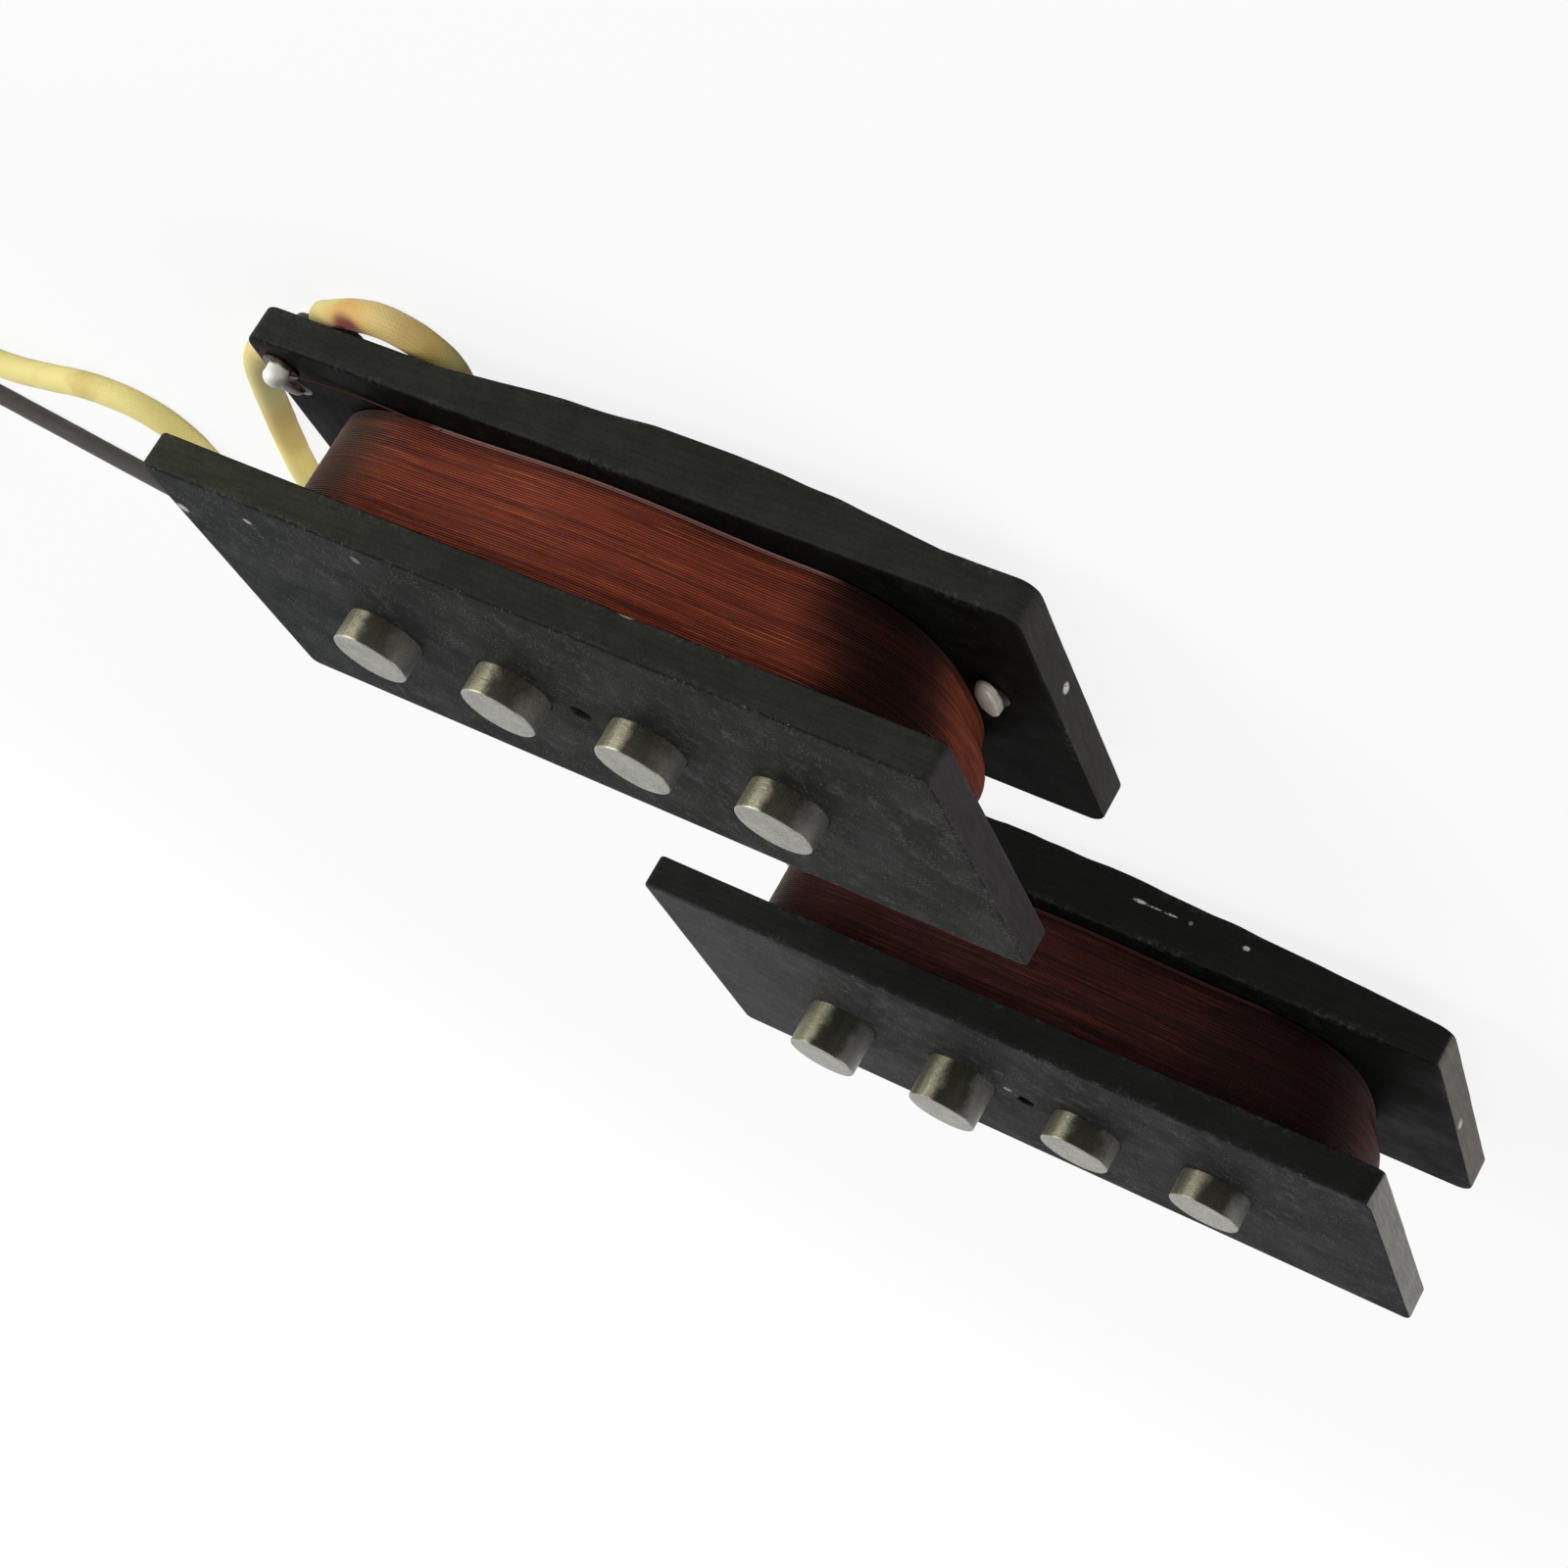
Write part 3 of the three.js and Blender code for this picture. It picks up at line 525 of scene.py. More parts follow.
def fibre_material(name, tones, settings, coil_side, marks, stains):
    """Black vulcanised fibre: smudged, specked faces, layered sides, sawn ends, and painted shade on the
    faces towards the coil.
    """
    lead_end, far_end, side_near, side_far, sawn, reach = tones
    material, tree, shader = new_material(name)
    place = object_place(tree)
    away = ramped(parts_of(place)[0], *reach)
    clouds = grain(place, 260.0)
    layers = grain(stretched(place, 0.1, 0.1, 1.0), 4200.0, 3.0)
    side = ramped(levelness(tree), 0.6, 0.3)
    sawn_end = ramped(facing(tree, (1, 0, 0)), 0.75, 0.92)
    to_coil = facing(tree, (0, 0, coil_side))
    outer = ramped(to_coil, 0.2, 0.6, 1.0, 0.15)
    # The faces, from the lead end to the far end, and their painted shade towards the coil
    base = mixed(away, lead_end, far_end)
    base = mixed(ramped(to_coil, 0.6, 0.8), base, settings.lacquered)
    smudges = grain(stretched(place, 1.0, 0.8, 1.0), 760.0, 5.0, 0.76)
    patches = ramped(grain(place, 120.0, 2.0, 0.5), 0.4, 0.6, 0.25)
    soiled = times(ramped(smudges, 0.5, 0.66), patches, outer, 0.45)
    base = mixed(soiled, base, settings.smudge)
    # The long sides with their layers, and the sawn ends
    base = mixed(side, base, mixed(away, side_near, side_far))
    base = mixed(sawn_end, base, sawn)
    lines = times(side, ramped(layers, 0.35, 0.65, 0.0, 0.24))
    base = shaded(base, reckoned("SUBTRACT", 1.1, lines))
    base = shaded(base, ramped(clouds, 0.32, 0.68, 0.84, 1.16))
    # Fine grain, specks and worn edges
    flat = times(outer, reckoned("SUBTRACT", 1.0, side))
    fine = spread(grain(place, 7800.0, 2.0), -1.0, 1.0)
    grained = reckoned("MULTIPLY_ADD", flat, 0.2, 0.14)
    base = shaded(base, reckoned("MULTIPLY_ADD", fine, grained, 1.0))
    specks = group_node(speckle, {"Place": place, "Size": 0.14 * MM, "Amount": 0.55})
    base = mixed(times(specks["Mask"], flat), base, settings.worn)
    wear = group_node(edge_wear, {"Edge": mark(tree, "edge"), "Place": place, "Amount": 0.14})
    base = mixed(wear["Mask"], base, settings.worn)
    rough = spread(clouds, 0.55, 0.72)
    for centre, stain_reach, colour, strength in stains:
        mask = near(place, centre, stain_reach, strength)
        base = mixed(mask, base, colour)
        rough = blended(mask, rough, 0.45)
    ragged = ramped(grain(place, 5200.0, 2.0), 0.3, 0.46)
    for centre, mark_reach, grey in marks:
        mask = times(near(place, centre, mark_reach), ragged)
        base = mixed(mask, base, srgb(grey, grey, grey - 4))
    height = reckoned("MULTIPLY_ADD", layers, side, specks["Height"])
    set_surface(shader, base, rough, height, distance=0.03 * MM, specular_ior_level=0.04)
    return material


def magnet_material(name, ground, cast, tarnish):
    """Cast magnet alloy: ground grainy ends with a brighter rim, and dull olive sides with streaks, painted
    lighter on the side towards the key light and darker, then grey, away from it.
    """
    lit_side = (-0.95, 0.31, 0)
    material, tree, shader = new_material(name)
    place = object_place(tree)
    top = ramped(levelness(tree), 0.4, 0.9)
    rim = ramped(levelness(tree), 0.97, 0.8, 0.0, 0.6)
    lines, streaks = [
        group_node(brushed, {"Place": stretched(place, *scales), "Scale": scale})["Lines"]
        for *scales, scale in ((0.2, 1.0, 1.0, 5200.0), (1.0, 1.0, 0.1, 2900.0))
    ]
    pits = grain(place, 6800.0, 2.0, 0.7)
    clouds = grain(place, 700.0, 3.0)
    ends = shaded(ground, ramped(pits, 0.34, 0.66, 0.74, 1.2))
    ends = shaded(ends, spread(clouds, 0.86, 1.12))
    ends = mixed(rim, ends, dimmed(ground, 1.5))
    # Painted light and shade: the sides are lighter where they face the key light, darker away from it, and
    # grey at the far edge as a painted reflection
    ragged = reckoned("MULTIPLY_ADD", clouds, 0.7, -0.35)
    painted_light = reckoned("ADD", facing(tree, lit_side), ragged)
    sides = shaded(cast, ramped(streaks, 0.0, 1.0, 0.8, 1.1))
    sides = shaded(sides, ramped(painted_light, 0.18, 0.5, tarnish, 1.0))
    sides = mixed(ramped(painted_light, -0.3, -0.8), sides, dimmed(ground, 0.5))
    colour = mixed(top, sides, ends)
    rough = blended(top, spread(pits, 0.26, 0.4), 0.55)
    metal = blended(top, 0.7, 0.35)
    height = reckoned("ADD", pits, lines)
    set_surface(shader, colour, rough, height, strength=0.2, distance=0.02 * MM, metallic=metal)
    return material


def wire_material(name, tones, thick, lowest, glint_from, glint_end):
    """Enamelled copper: streaks along it with painted sheen, shades from turn to turn, the given darker
    patches (painted shade on half A's far end), and painted shade and a painted highlight at its foot.
    """
    dark, warm, bright, glint = tones
    material, tree, shader = new_material(name)
    strand = mark(tree, "strand", "Vector")
    place = object_place(tree)
    x, _, z = parts_of(place)
    streaks = grain(stretched(strand, 16.0, 0.9, 1.0), 1.0)
    turns = grain(stretched(strand, 7.0, 0.28, 1.0), 1.0, 3.0)
    clouds = grain(place, 130.0, 2.0, 0.5)
    colour = mixed(ramped(turns, 0.36, 0.6), dark, warm)
    # Painted sheen: the bright streaks paint the enamel's sheen into the colour, and the wire is painted
    # darker between them
    lit = times(ramped(streaks, 0.5, 0.68), ramped(clouds, 0.4, 0.6, 0.35))
    colour = mixed(lit, colour, bright)
    colour = shaded(colour, ramped(streaks, 0.3, 0.55, 0.7, 1.0))
    broken = spread(turns, 1.0, 0.86)
    # The darker patches: painted shade on half A's far end, darker wire elsewhere
    for centre, reach, patch_tone, strength in thick:
        mask = times(near(place, centre, reach, strength), broken)
        colour = mixed(mask, colour, patch_tone)
    # The lowest turns are painted in shade, and one of them gets a painted highlight between two places along
    # X
    foot_shade = ramped(z, lowest + 0.85 * MM, lowest + 0.5 * MM, 1.0, 0.45)
    edge = ramped(z, lowest + 0.4 * MM, lowest + 0.25 * MM)
    start = ramped(x, glint_from, glint_from + 1 * MM)
    end = ramped(x, glint_end, glint_end - 2 * MM, 0.0, 0.75)
    colour = mixed(times(edge, start, end), shaded(colour, foot_shade), glint)
    rough = spread(turns, 0.42, 0.56)
    set_surface(shader, colour, rough, streaks, strength=0.15, distance=0.02 * MM, metallic=0.08,
                specular_ior_level=0.08)
    return material


def core_material(settings):
    """The inner layers, dark under their lacquer."""
    material, tree, shader = new_material("coil_body")
    layers = grain(stretched(object_place(tree), 0.05, 0.05, 1.0), 6000.0, 3.0)
    colour = mixed(layers, settings.shellac_and_shade, settings.dark_a)
    set_surface(shader, colour, spread(layers, 0.35, 0.6), layers)
    return material


def solder_material(name, tin, settings):
    """Tin solder: pale, greyer where it has run thin, with burnt flux at its foot."""
    material, tree, shader = new_material(name)
    clouds = grain(object_place(tree), 1500.0, 3.0)
    colour = mixed(ramped(clouds, 0.45, 0.75), tin, dimmed(tin, 0.7))
    burnt = times(ramped(mark(tree, "foot"), 0.5, 0.95), ramped(clouds, 0.3, 0.6, 0.4))
    colour = mixed(burnt, colour, settings.flux)
    set_surface(shader, colour, spread(clouds, 0.42, 0.6), clouds, strength=0.15, metallic=0.12)
    return material


def clouded_material(name, tones, scale, detail, cover, roughness, **others):
    """A plain finish with clouds of a second tone, which stand a little proud."""
    material, tree, shader = new_material(name)
    clouds = grain(object_place(tree), scale, detail)
    colour = mixed(ramped(clouds, *cover), *tones)
    set_surface(shader, colour, spread(clouds, *roughness), clouds, strength=0.2, **others)
    return material


def flux_material(settings):
    """Burnt flux: dark and glossy, red-brown where it is thin."""
    tones = (settings.flux, settings.amber)
    return clouded_material("burnt_flux", tones, 900.0, 3.0, (0.45, 0.65), (0.3, 0.5), coat_weight=0.1)


def eyelet_material(settings):
    """Brass under a thin dull tin, stained by flux."""
    tones = (settings.brass, dimmed(settings.brass, 0.3))
    return clouded_material("eyelet_brass", tones, 1900.0, 4.0, (0.4, 0.65), (0.25, 0.5), metallic=0.9)


def tinned_material(settings):
    """Tinned copper strands."""
    tones = (settings.tinned, dimmed(settings.tinned, 0.6))
    return clouded_material("tinned_strands", tones, 2300.0, 3.0, (0.4, 0.7), (0.25, 0.45), metallic=0.85)


def cloth_material(name, cloth, stain, yarns_round, stains=()):
    """Waxed cloth braid, with wax stains; its yarns follow the lead's own UV map."""
    material, tree, shader = new_material(name)
    weave = put(tree, "ShaderNodeUVMap", uv_map="weave").outputs["UV"]
    yarns = stretched(weave, yarns_round / 2, yarns_round / 2, 1.0)
    height = group_node(braid, {"Yarns": yarns})["Height"]
    place = object_place(tree)
    clouds = grain(place, 210.0, 3.0, 0.55)
    fuzz = grain(place, 5200.0, 3.0, 0.7)
    deep = dimmed(cloth, 0.8)
    colour = mixed(ramped(height, 0.0, 0.7), deep, cloth)
    colour = mixed(ramped(fuzz, 0.35, 0.7, 0.0, 0.3), colour, deep)
    colour = mixed(ramped(clouds, 0.5, 0.72, 0.0, 0.5), colour, stain)
    for centre, reach, dye, strength in stains:
        colour = mixed(near(place, centre, reach, strength), colour, dye)
    fuzzy = reckoned("MULTIPLY_ADD", fuzz, 0.4, height)
    rough = spread(clouds, 0.6, 0.8)
    set_surface(shader, colour, rough, fuzzy, strength=0.35, distance=0.04 * MM, sheen_weight=0.15)
    return material


def thread_material(settings):
    """Cotton thread, twisted: fine slanting lines round the thread."""
    material, tree, shader = new_material("cotton_thread")
    fuzz = grain(object_place(tree), 5200.0, 4.0, 0.7)
    lines = {"Vector": mark(tree, "strand", "Vector"), "Scale": 900.0, "Distortion": 2.0}
    lay = after("ShaderNodeTexWave", lines).outputs["Fac"]
    colour = mixed(ramped(fuzz, 0.3, 0.75), settings.cotton, dimmed(settings.cotton, 0.7))
    rough = spread(fuzz, 0.75, 0.9)
    set_surface(shader, colour, rough, lay, strength=0.4, distance=0.03 * MM, sheen_weight=0.2)
    return material


# Geometry Nodes

def close_tree(geometry, material, out):
    """Ends a tree: instances are realised and the material is set."""
    real = result("GeometryNodeRealizeInstances", {"Geometry": geometry})
    painted = result("GeometryNodeSetMaterial", {"Geometry": real, "Material": material})
    fill(out["Geometry"], painted)


def close_with_tube(curve, thickness, sides, material, out):
    """Ends a tree: a tube with closed ends is run along a curve."""
    circle = {"Resolution": sides, "Radius": times(thickness, 0.5)}
    section = result("GeometryNodeCurvePrimitiveCircle", circle, mode="RADIUS")
    swept = {"Curve": curve, "Profile Curve": section, "Fill Caps": True}
    tube = result("GeometryNodeCurveToMesh", swept)
    close_tree(result("GeometryNodeSetShadeSmooth", {"Geometry": tube}), material, out)


def winding_tree():
    """Tree: wire wound round a closed loop, turn beside turn, as one tube."""
    tree, given, out = new_group("winding_tree", "GeometryNodeTree", [
        ("Loop", "Geometry", None),
        ("Wire", "Float", 0.0002),
        ("Turns", "Int", 40),
        ("Points", "Int", 112),
        ("Lowest", "Float", 0.0),
        ("Highest", "Float", 0.007),
        ("Unevenness", "Float", 0.3),
        ("Draw From", "Float", 0.0),
        ("Draw Share", "Float", 0.0),
        ("Draw Height", "Float", 0.001),
        ("Material", "Material", None),
    ], [("Geometry", "Geometry")])
    loop = result("GeometryNodeMeshToCurve", {"Mesh": given["Loop"]})
    steps = times(given["Turns"], given["Points"])
    line = put(tree, "GeometryNodeCurvePrimitiveLine").outputs[0]
    count = reckoned("ADD", steps, 1.0)
    run = result("GeometryNodeResampleCurve", {"Curve": line, "Count": count}, mode="COUNT")
    index = put(tree, "GeometryNodeInputIndex").outputs[0]
    turn = reckoned("DIVIDE", index, given["Points"])
    round_share = reckoned("FRACT", turn)
    sampled = {"Curves": loop, "Factor": round_share}
    sample = after("GeometryNodeSampleCurve", sampled, mode="FACTOR").outputs
    x, y, _ = parts_of(sample["Position"])
    rise = ramped(reckoned("DIVIDE", index, steps), 0.0, 1.0, given["Lowest"], given["Highest"])
    rise.node.interpolation_type = "LINEAR"
    # Low turns are drawn in past the place along X that the draw-in starts from
    draw_top = reckoned("ADD", given["Lowest"], given["Draw Height"])
    draw = ramped(rise, given["Lowest"], draw_top, given["Draw Share"], 0.0)
    past = reckoned("MAXIMUM", reckoned("SUBTRACT", x, given["Draw From"]), 0.0)
    drawn_x = reckoned("SUBTRACT", x, times(past, draw))
    # A turn strays most where its neighbours do not
    wander = vector_of(times(turn, 2.7), turn, 0.5)
    stray = reckoned("SUBTRACT", grain(wander, 1.0, 2.0), 0.5)
    reach = times(given["Wire"], given["Unevenness"])
    lift = reckoned("MULTIPLY_ADD", stray, reach, rise)
    depth = times(reckoned("ABSOLUTE", stray), times(reach, -1.6))
    inward = vector_reckoned("CROSS_PRODUCT", sample["Tangent"], UP)
    inset = vector_reckoned("SCALE", inward, Scale=depth)
    final = vector_reckoned("ADD", vector_of(drawn_x, y, lift), inset)
    wound = result("GeometryNodeSetPosition", {"Geometry": run, "Position": final})
    along = {"Geometry": wound, "Name": "strand", "Value": vector_of(round_share, turn, 0.0)}
    marked = result("GeometryNodeStoreNamedAttribute", along, data_type="FLOAT_VECTOR", domain="POINT")
    close_with_tube(marked, given["Wire"], 6, given["Material"], out)
    return tree


def copies_tree():
    """Tree: one piece set at each point of a mesh."""
    tree, given, out = new_group("copies_tree", "GeometryNodeTree", [
        ("Points", "Geometry", None),
        ("Piece", "Object", None),
        ("Material", "Material", None),
    ], [("Geometry", "Geometry")])
    piece = after("GeometryNodeObjectInfo", {"Object": given["Piece"]}).outputs["Geometry"]
    copies = result("GeometryNodeInstanceOnPoints", {"Points": given["Points"], "Instance": piece})
    close_tree(copies, given["Material"], out)
    return tree


def strands_tree():
    """Tree: thin strands twisted round each edge of a mesh, which lies level."""
    tree, given, out = new_group("strands_tree", "GeometryNodeTree", [
        ("Line", "Geometry", None),
        ("Strands", "Int", 7),
        ("Strand", "Float", 0.0002),
        ("Reach", "Float", 0.0003),
        ("Lay", "Float", 0.004),
        ("Material", "Material", None),
    ], [("Geometry", "Geometry")])
    line = result("GeometryNodeMeshToCurve", {"Mesh": given["Line"]})
    fine = result("GeometryNodeResampleCurve", {"Curve": line, "Count": 40}, mode="COUNT")
    run = after("GeometryNodeCaptureAttribute", {"Geometry": fine}, domain="POINT")
    run.capture_items.new("FLOAT", "Along")
    run.capture_items.new("VECTOR", "Tangent")
    fill(run.inputs["Along"], put(tree, "GeometryNodeSplineParameter").outputs["Length"])
    fill(run.inputs["Tangent"], put(tree, "GeometryNodeInputTangent").outputs[0])
    duplicates = {"Geometry": run.outputs["Geometry"], "Amount": given["Strands"]}
    copies = after("GeometryNodeDuplicateElements", duplicates, domain="SPLINE").outputs
    share = reckoned("DIVIDE", copies["Duplicate Index"], given["Strands"])
    twist = reckoned("DIVIDE", run.outputs["Along"], given["Lay"])
    angle = times(reckoned("ADD", share, twist), math.tau)
    side = vector_reckoned("CROSS_PRODUCT", run.outputs["Tangent"], UP)
    level, high = [
        vector_reckoned("SCALE", way, Scale=times(reckoned(wave, angle), given["Reach"]))
        for way, wave in ((side, "COSINE"), (UP, "SINE"))
    ]
    offset = {"Geometry": copies["Geometry"], "Offset": vector_reckoned("ADD", level, high)}
    placed = result("GeometryNodeSetPosition", offset)
    close_with_tube(placed, given["Strand"], 8, given["Material"], out)
    return tree


def made_by(maker, name, source, values, matrix=None):
    """Runs a tree on a source mesh, and gives its result as a plain mesh on an object at the origin."""
    tree = shared(maker)
    carrier = new_object(name + "_source", source)
    modifier = carrier.modifiers.new("Tree", "NODES")
    modifier.node_group = tree
    sockets = {item.name: item.identifier for item in tree.interface.items_tree if item.in_out == "INPUT"}
    for label, value in values.items():
        modifier[sockets[label]] = value
    carrier.update_tag()
    evaluated = carrier.evaluated_get(bpy.context.evaluated_depsgraph_get())
    mesh = bpy.data.meshes.new_from_object(evaluated)
    carrier.modifiers.remove(modifier)
    bpy.data.objects.remove(carrier)
    if matrix is not None:
        mesh.transform(matrix)
    return new_object(name, mesh)


# Meshes

def new_object(name, mesh):
    """An object at the origin, in the scene."""
    made = bpy.data.objects.new(name, mesh)
    mesh.name = name
    bpy.context.scene.collection.objects.link(made)
    return made


def mesh_from(name, points, edges=(), faces=()):
    """A mesh from plain lists."""
    mesh = bpy.data.meshes.new(name)
    mesh.from_pydata([tuple(point) for point in points], edges, faces)
    return mesh


def loop_mesh(points):
    """A closed loop of edges through some points."""
    count = len(points)
    return mesh_from("loop", points, [(i, (i + 1) % count) for i in range(count)])


def ring_faces(rows, sides, joined=False):
    """Quads between rows of points, each row a closed ring; the last row may be joined to the first."""
    total = rows * sides
    faces = []
    for row in range(rows if joined else rows - 1):
        for k in range(sides):
            a, b = row * sides + k, row * sides + (k + 1) % sides
            faces.append((a, b, (b + sides) % total, (a + sides) % total))
    return faces


def end_caps(rows, sides):
    """The two faces that close the ends of such rows."""
    return [tuple(range(sides))[::-1], tuple(range((rows - 1) * sides, rows * sides))]


def paint(piece, material):
    """Gives a piece one material."""
    piece.data.materials.clear()
    piece.data.materials.append(material)


def settle(piece, slot, *nodes, material=None):
    """Gives a piece its body, hides the nodes that it stands for and gives it its material, if one is given;
    the slot is not used.
    """
    if material is not None:
        paint(piece, material)
    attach(piece, BODY)
    if nodes:
        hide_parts(*nodes)
    return piece


def middle(node):
    """The middle of a node's box."""
    low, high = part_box(node)
    return (low + high) / 2


def stand_copies(name, pattern, material, slot, nodes):
    """Stands a copy of a pattern on the foot of each node, and makes them one piece."""
    feet = [Vector((*middle(node).xy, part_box(node)[0].z)) for node in nodes]
    copies = made_by(copies_tree, name, mesh_from("feet", feet), {"Piece": pattern, "Material": material})
    settle(copies, slot, *nodes)


def outward(mesh, sharp_degrees=35):
    """Turns a mesh's faces outwards and shades it smooth, but for its sharp edges."""
    work = bmesh.new()
    work.from_mesh(mesh)
    bmesh.ops.recalc_face_normals(work, faces=work.faces)
    work.to_mesh(mesh)
    work.free()
    mesh.shade_smooth()
    mesh.set_sharp_from_angle(angle=math.radians(sharp_degrees))
    return mesh


def turned_mesh(name, profile, sides, hollow=False):
    """A closed solid turned about Z, from pairs of radius and height; a hollow one is a ring."""
    ways = [(math.cos(math.tau * k / sides), math.sin(math.tau * k / sides)) for k in range(sides)]
    points = [(radius * x, radius * y, height) for radius, height in profile for x, y in ways]
    faces = ring_faces(len(profile), sides, hollow)
    if not hollow:
        faces += end_caps(len(profile), sides)
    return outward(mesh_from(name, points, (), faces))


def distances(path):
    """How far along a path each of its points lies."""
    lengths = [0.0]
    for before, after in zip(path, path[1:]):
        lengths.append(lengths[-1] + (after - before).length)
    return lengths


def tube_mesh(name, path, radius, sides, wobble=0.0):
    """A closed tube along a path, with a UV map in widths of the tube: u round it and v along it."""
    lengths = distances(path)
    points = []
    for i, point in enumerate(path):
        along = (path[min(i + 1, len(path) - 1)] - path[max(i - 1, 0)]).normalized()
        side = along.cross(UP).normalized()
        above = side.cross(along)
        for k in range(sides):
            angle = math.tau * k / sides
            way = side * math.cos(angle) + above * math.sin(angle)
            ripple = 1 + wobble * noise.noise((point + way * radius) / radius)
            points.append(point + way * radius * ripple)
    faces = ring_faces(len(path), sides)
    mesh = mesh_from(name, points, (), faces + end_caps(len(path), sides))
    layer = mesh.uv_layers.new(name="weave")
    for polygon in mesh.polygons[:len(faces)]:
        row, column = divmod(polygon.index, sides)
        for corner, (across, ahead) in zip(polygon.loop_indices, ((0, 0), (1, 0), (1, 1), (0, 1))):
            u, v = (column + across) / sides, lengths[row + ahead] / (radius * math.tau)
            layer.data[corner].uv = (u * 4, v * 4)
    return outward(mesh)


# Plates

def straight_and_round(low, high, radius, spacing, arc_steps=8):
    """The outline of a rounded rectangle as (point, outward normal) pairs, anticlockwise."""
    outline = []
    centres = [(high.x - radius, high.y - radius), (low.x + radius, high.y - radius),
               (low.x + radius, low.y + radius), (high.x - radius, low.y + radius)]
    for quarter, (x, y) in enumerate(centres):
        for step in range(arc_steps + 1):
            angle = math.pi / 2 * (quarter + step / arc_steps)
            normal = Vector((math.cos(angle), math.sin(angle)))
            outline.append((Vector((x, y)) + radius * normal, normal))
        end, normal = outline[-1]
        after = centres[(quarter + 1) % 4]
        target = Vector(after) + radius * normal
        count = max(2, round((target - end).length / spacing))
        for i in range(1, count):
            outline.append((end.lerp(target, i / count), normal))
    return outline


def hole_outline(centre, radius, sides=32):
    """The outline of a round hole as (point, normal) pairs; a hole's outward normal points to its middle."""
    outline = []
    for k in range(sides):
        way = Vector((math.cos(math.tau * k / sides), math.sin(math.tau * k / sides)))
        outline.append((centre.xy + radius * way, -way))
    return outline


def rounded_corner(rounding, steps=4):
    """How a quarter-round edge goes from a face to a side: pairs of inset and rise."""
    angles = [math.pi / 2 * step / steps for step in range(steps + 1)]
    return [(rounding * (1 - math.sin(angle)), rounding * (1 - math.cos(angle))) for angle in angles]


def rim_profile(low, high, rounding):
    """How an edge goes from the lower face to the upper one: (inset, height, mark of the edge)."""
    margin = 1.6 * rounding
    lower = [(rounding + margin, low, 0.0)]
    lower += [(inset, low + rise, 1.0) for inset, rise in rounded_corner(rounding)]
    lower.append((0.0, low + rounding + margin, 0.0))
    return lower + [(inset, low + high - height, edge) for inset, height, edge in reversed(lower)]


def strayed(point, height, wander, chips):
    """How far a sawn edge stands out at a point: it isn't quite straight, and it is chipped."""
    stray = wander * noise.noise(Vector((point.x, point.y, 0.0)) * RIPPLES) - wander * 0.5
    for centre, reach, depth in chips:
        away = (Vector((point.x, point.y, height)) - Vector(centre)).length / reach
        stray -= depth * max(0.0, 1 - away ** 2)
    return stray


def plate_mesh(name, outlines, low, high, roundings, wander, chips, belly):
    """A plate with rounded rims: outlines are its outside and its holes, each with its rounding."""
    work = bmesh.new()
    edge_layer = work.verts.layers.float.new("edge")
    caps = ([], [])
    for number, (outline, rounding) in enumerate(zip(outlines, roundings)):
        profile = rim_profile(low, high, rounding)
        deepest = max(inset for inset, _, _ in profile)
        rings = []
        for inset, height, edge in profile:
            ring = []
            for point, normal in outline:
                stray = strayed(point, height, wander, chips) * (1 - inset / deepest) if number == 0 else 0.0
                where = point - normal * (inset - stray)
                vert = work.verts.new((where.x, where.y, height))
                vert[edge_layer] = edge
                ring.append(vert)
            rings.append(ring)
        for lower, upper in zip(rings, rings[1:]):
            for k in range(len(lower)):
                after = (k + 1) % len(lower)
                work.faces.new((lower[k], lower[after], upper[after], upper[k])).smooth = True
        caps[0].append(rings[0])
        caps[1].append(rings[-1])
    for loops in caps:
        fill_between(work, loops)
    bmesh.ops.recalc_face_normals(work, faces=work.faces)
    if belly is not None:
        swell_underside(work, (low + high) / 2, *belly)
    mesh = bpy.data.meshes.new(name)
    work.to_mesh(mesh)
    work.free()
    return mesh


def fill_between(work, loops):
    """Fills a level outline with triangles, all but its holes; the first loop is the outside."""
    verts = [vert for loop in loops for vert in loop]
    owners = [number for number, loop in enumerate(loops) for _ in loop]
    edges = []
    first = 0
    for loop in loops:
        edges += [(first + k, first + (k + 1) % len(loop)) for k in range(len(loop))]
        first += len(loop)
    flat = [vert.co.xy for vert in verts]
    _, _, triangles, origins, _, _ = delaunay_2d_cdt(flat, edges, [], 1, 1e-9)
    for triangle in triangles:
        corners = [origins[k][0] for k in triangle]
        around = {owners[k] for k in corners}
        if around == {0} or len(around) > 1:
            work.faces.new([verts[k] for k in corners])


def swell_underside(work, level, depth, start, most, end):
    """Lets what lies below a level swell downwards between two places along X, most at the one between."""
    cuts = 28
    unevenness = 0.09
    for i in range(cuts + 1):
        place = (start + (end - start) * i / cuts, 0, 0)
        everything = [*work.verts, *work.edges, *work.faces]
        bmesh.ops.bisect_plane(work, geom=everything, dist=1e-7, plane_co=place, plane_no=(1, 0, 0))
    for vert in work.verts:
        x = vert.co.x
        if vert.co.z < level and start < x < end:
            away = abs(x - most) / (most - start if x < most else end - most)
            ripple = 1 + unevenness * noise.noise(Vector((x * RIPPLES, 0.5, 0.5)))
            vert.co.z -= depth * min(1.0, math.cos(math.pi / 2 * away) * ripple)
    for face in work.faces:
        face.smooth = True


# Shares of a plate's half length, from its middle, where its underside starts to swell, swells most and ends

BELLY_SHARES = {"half_a": (-0.46, 0.2, 0.78), "half_b": (-0.84, -0.24, 1.0)}

# Pale marks on the plates: shares of the node's box, reach and grey level

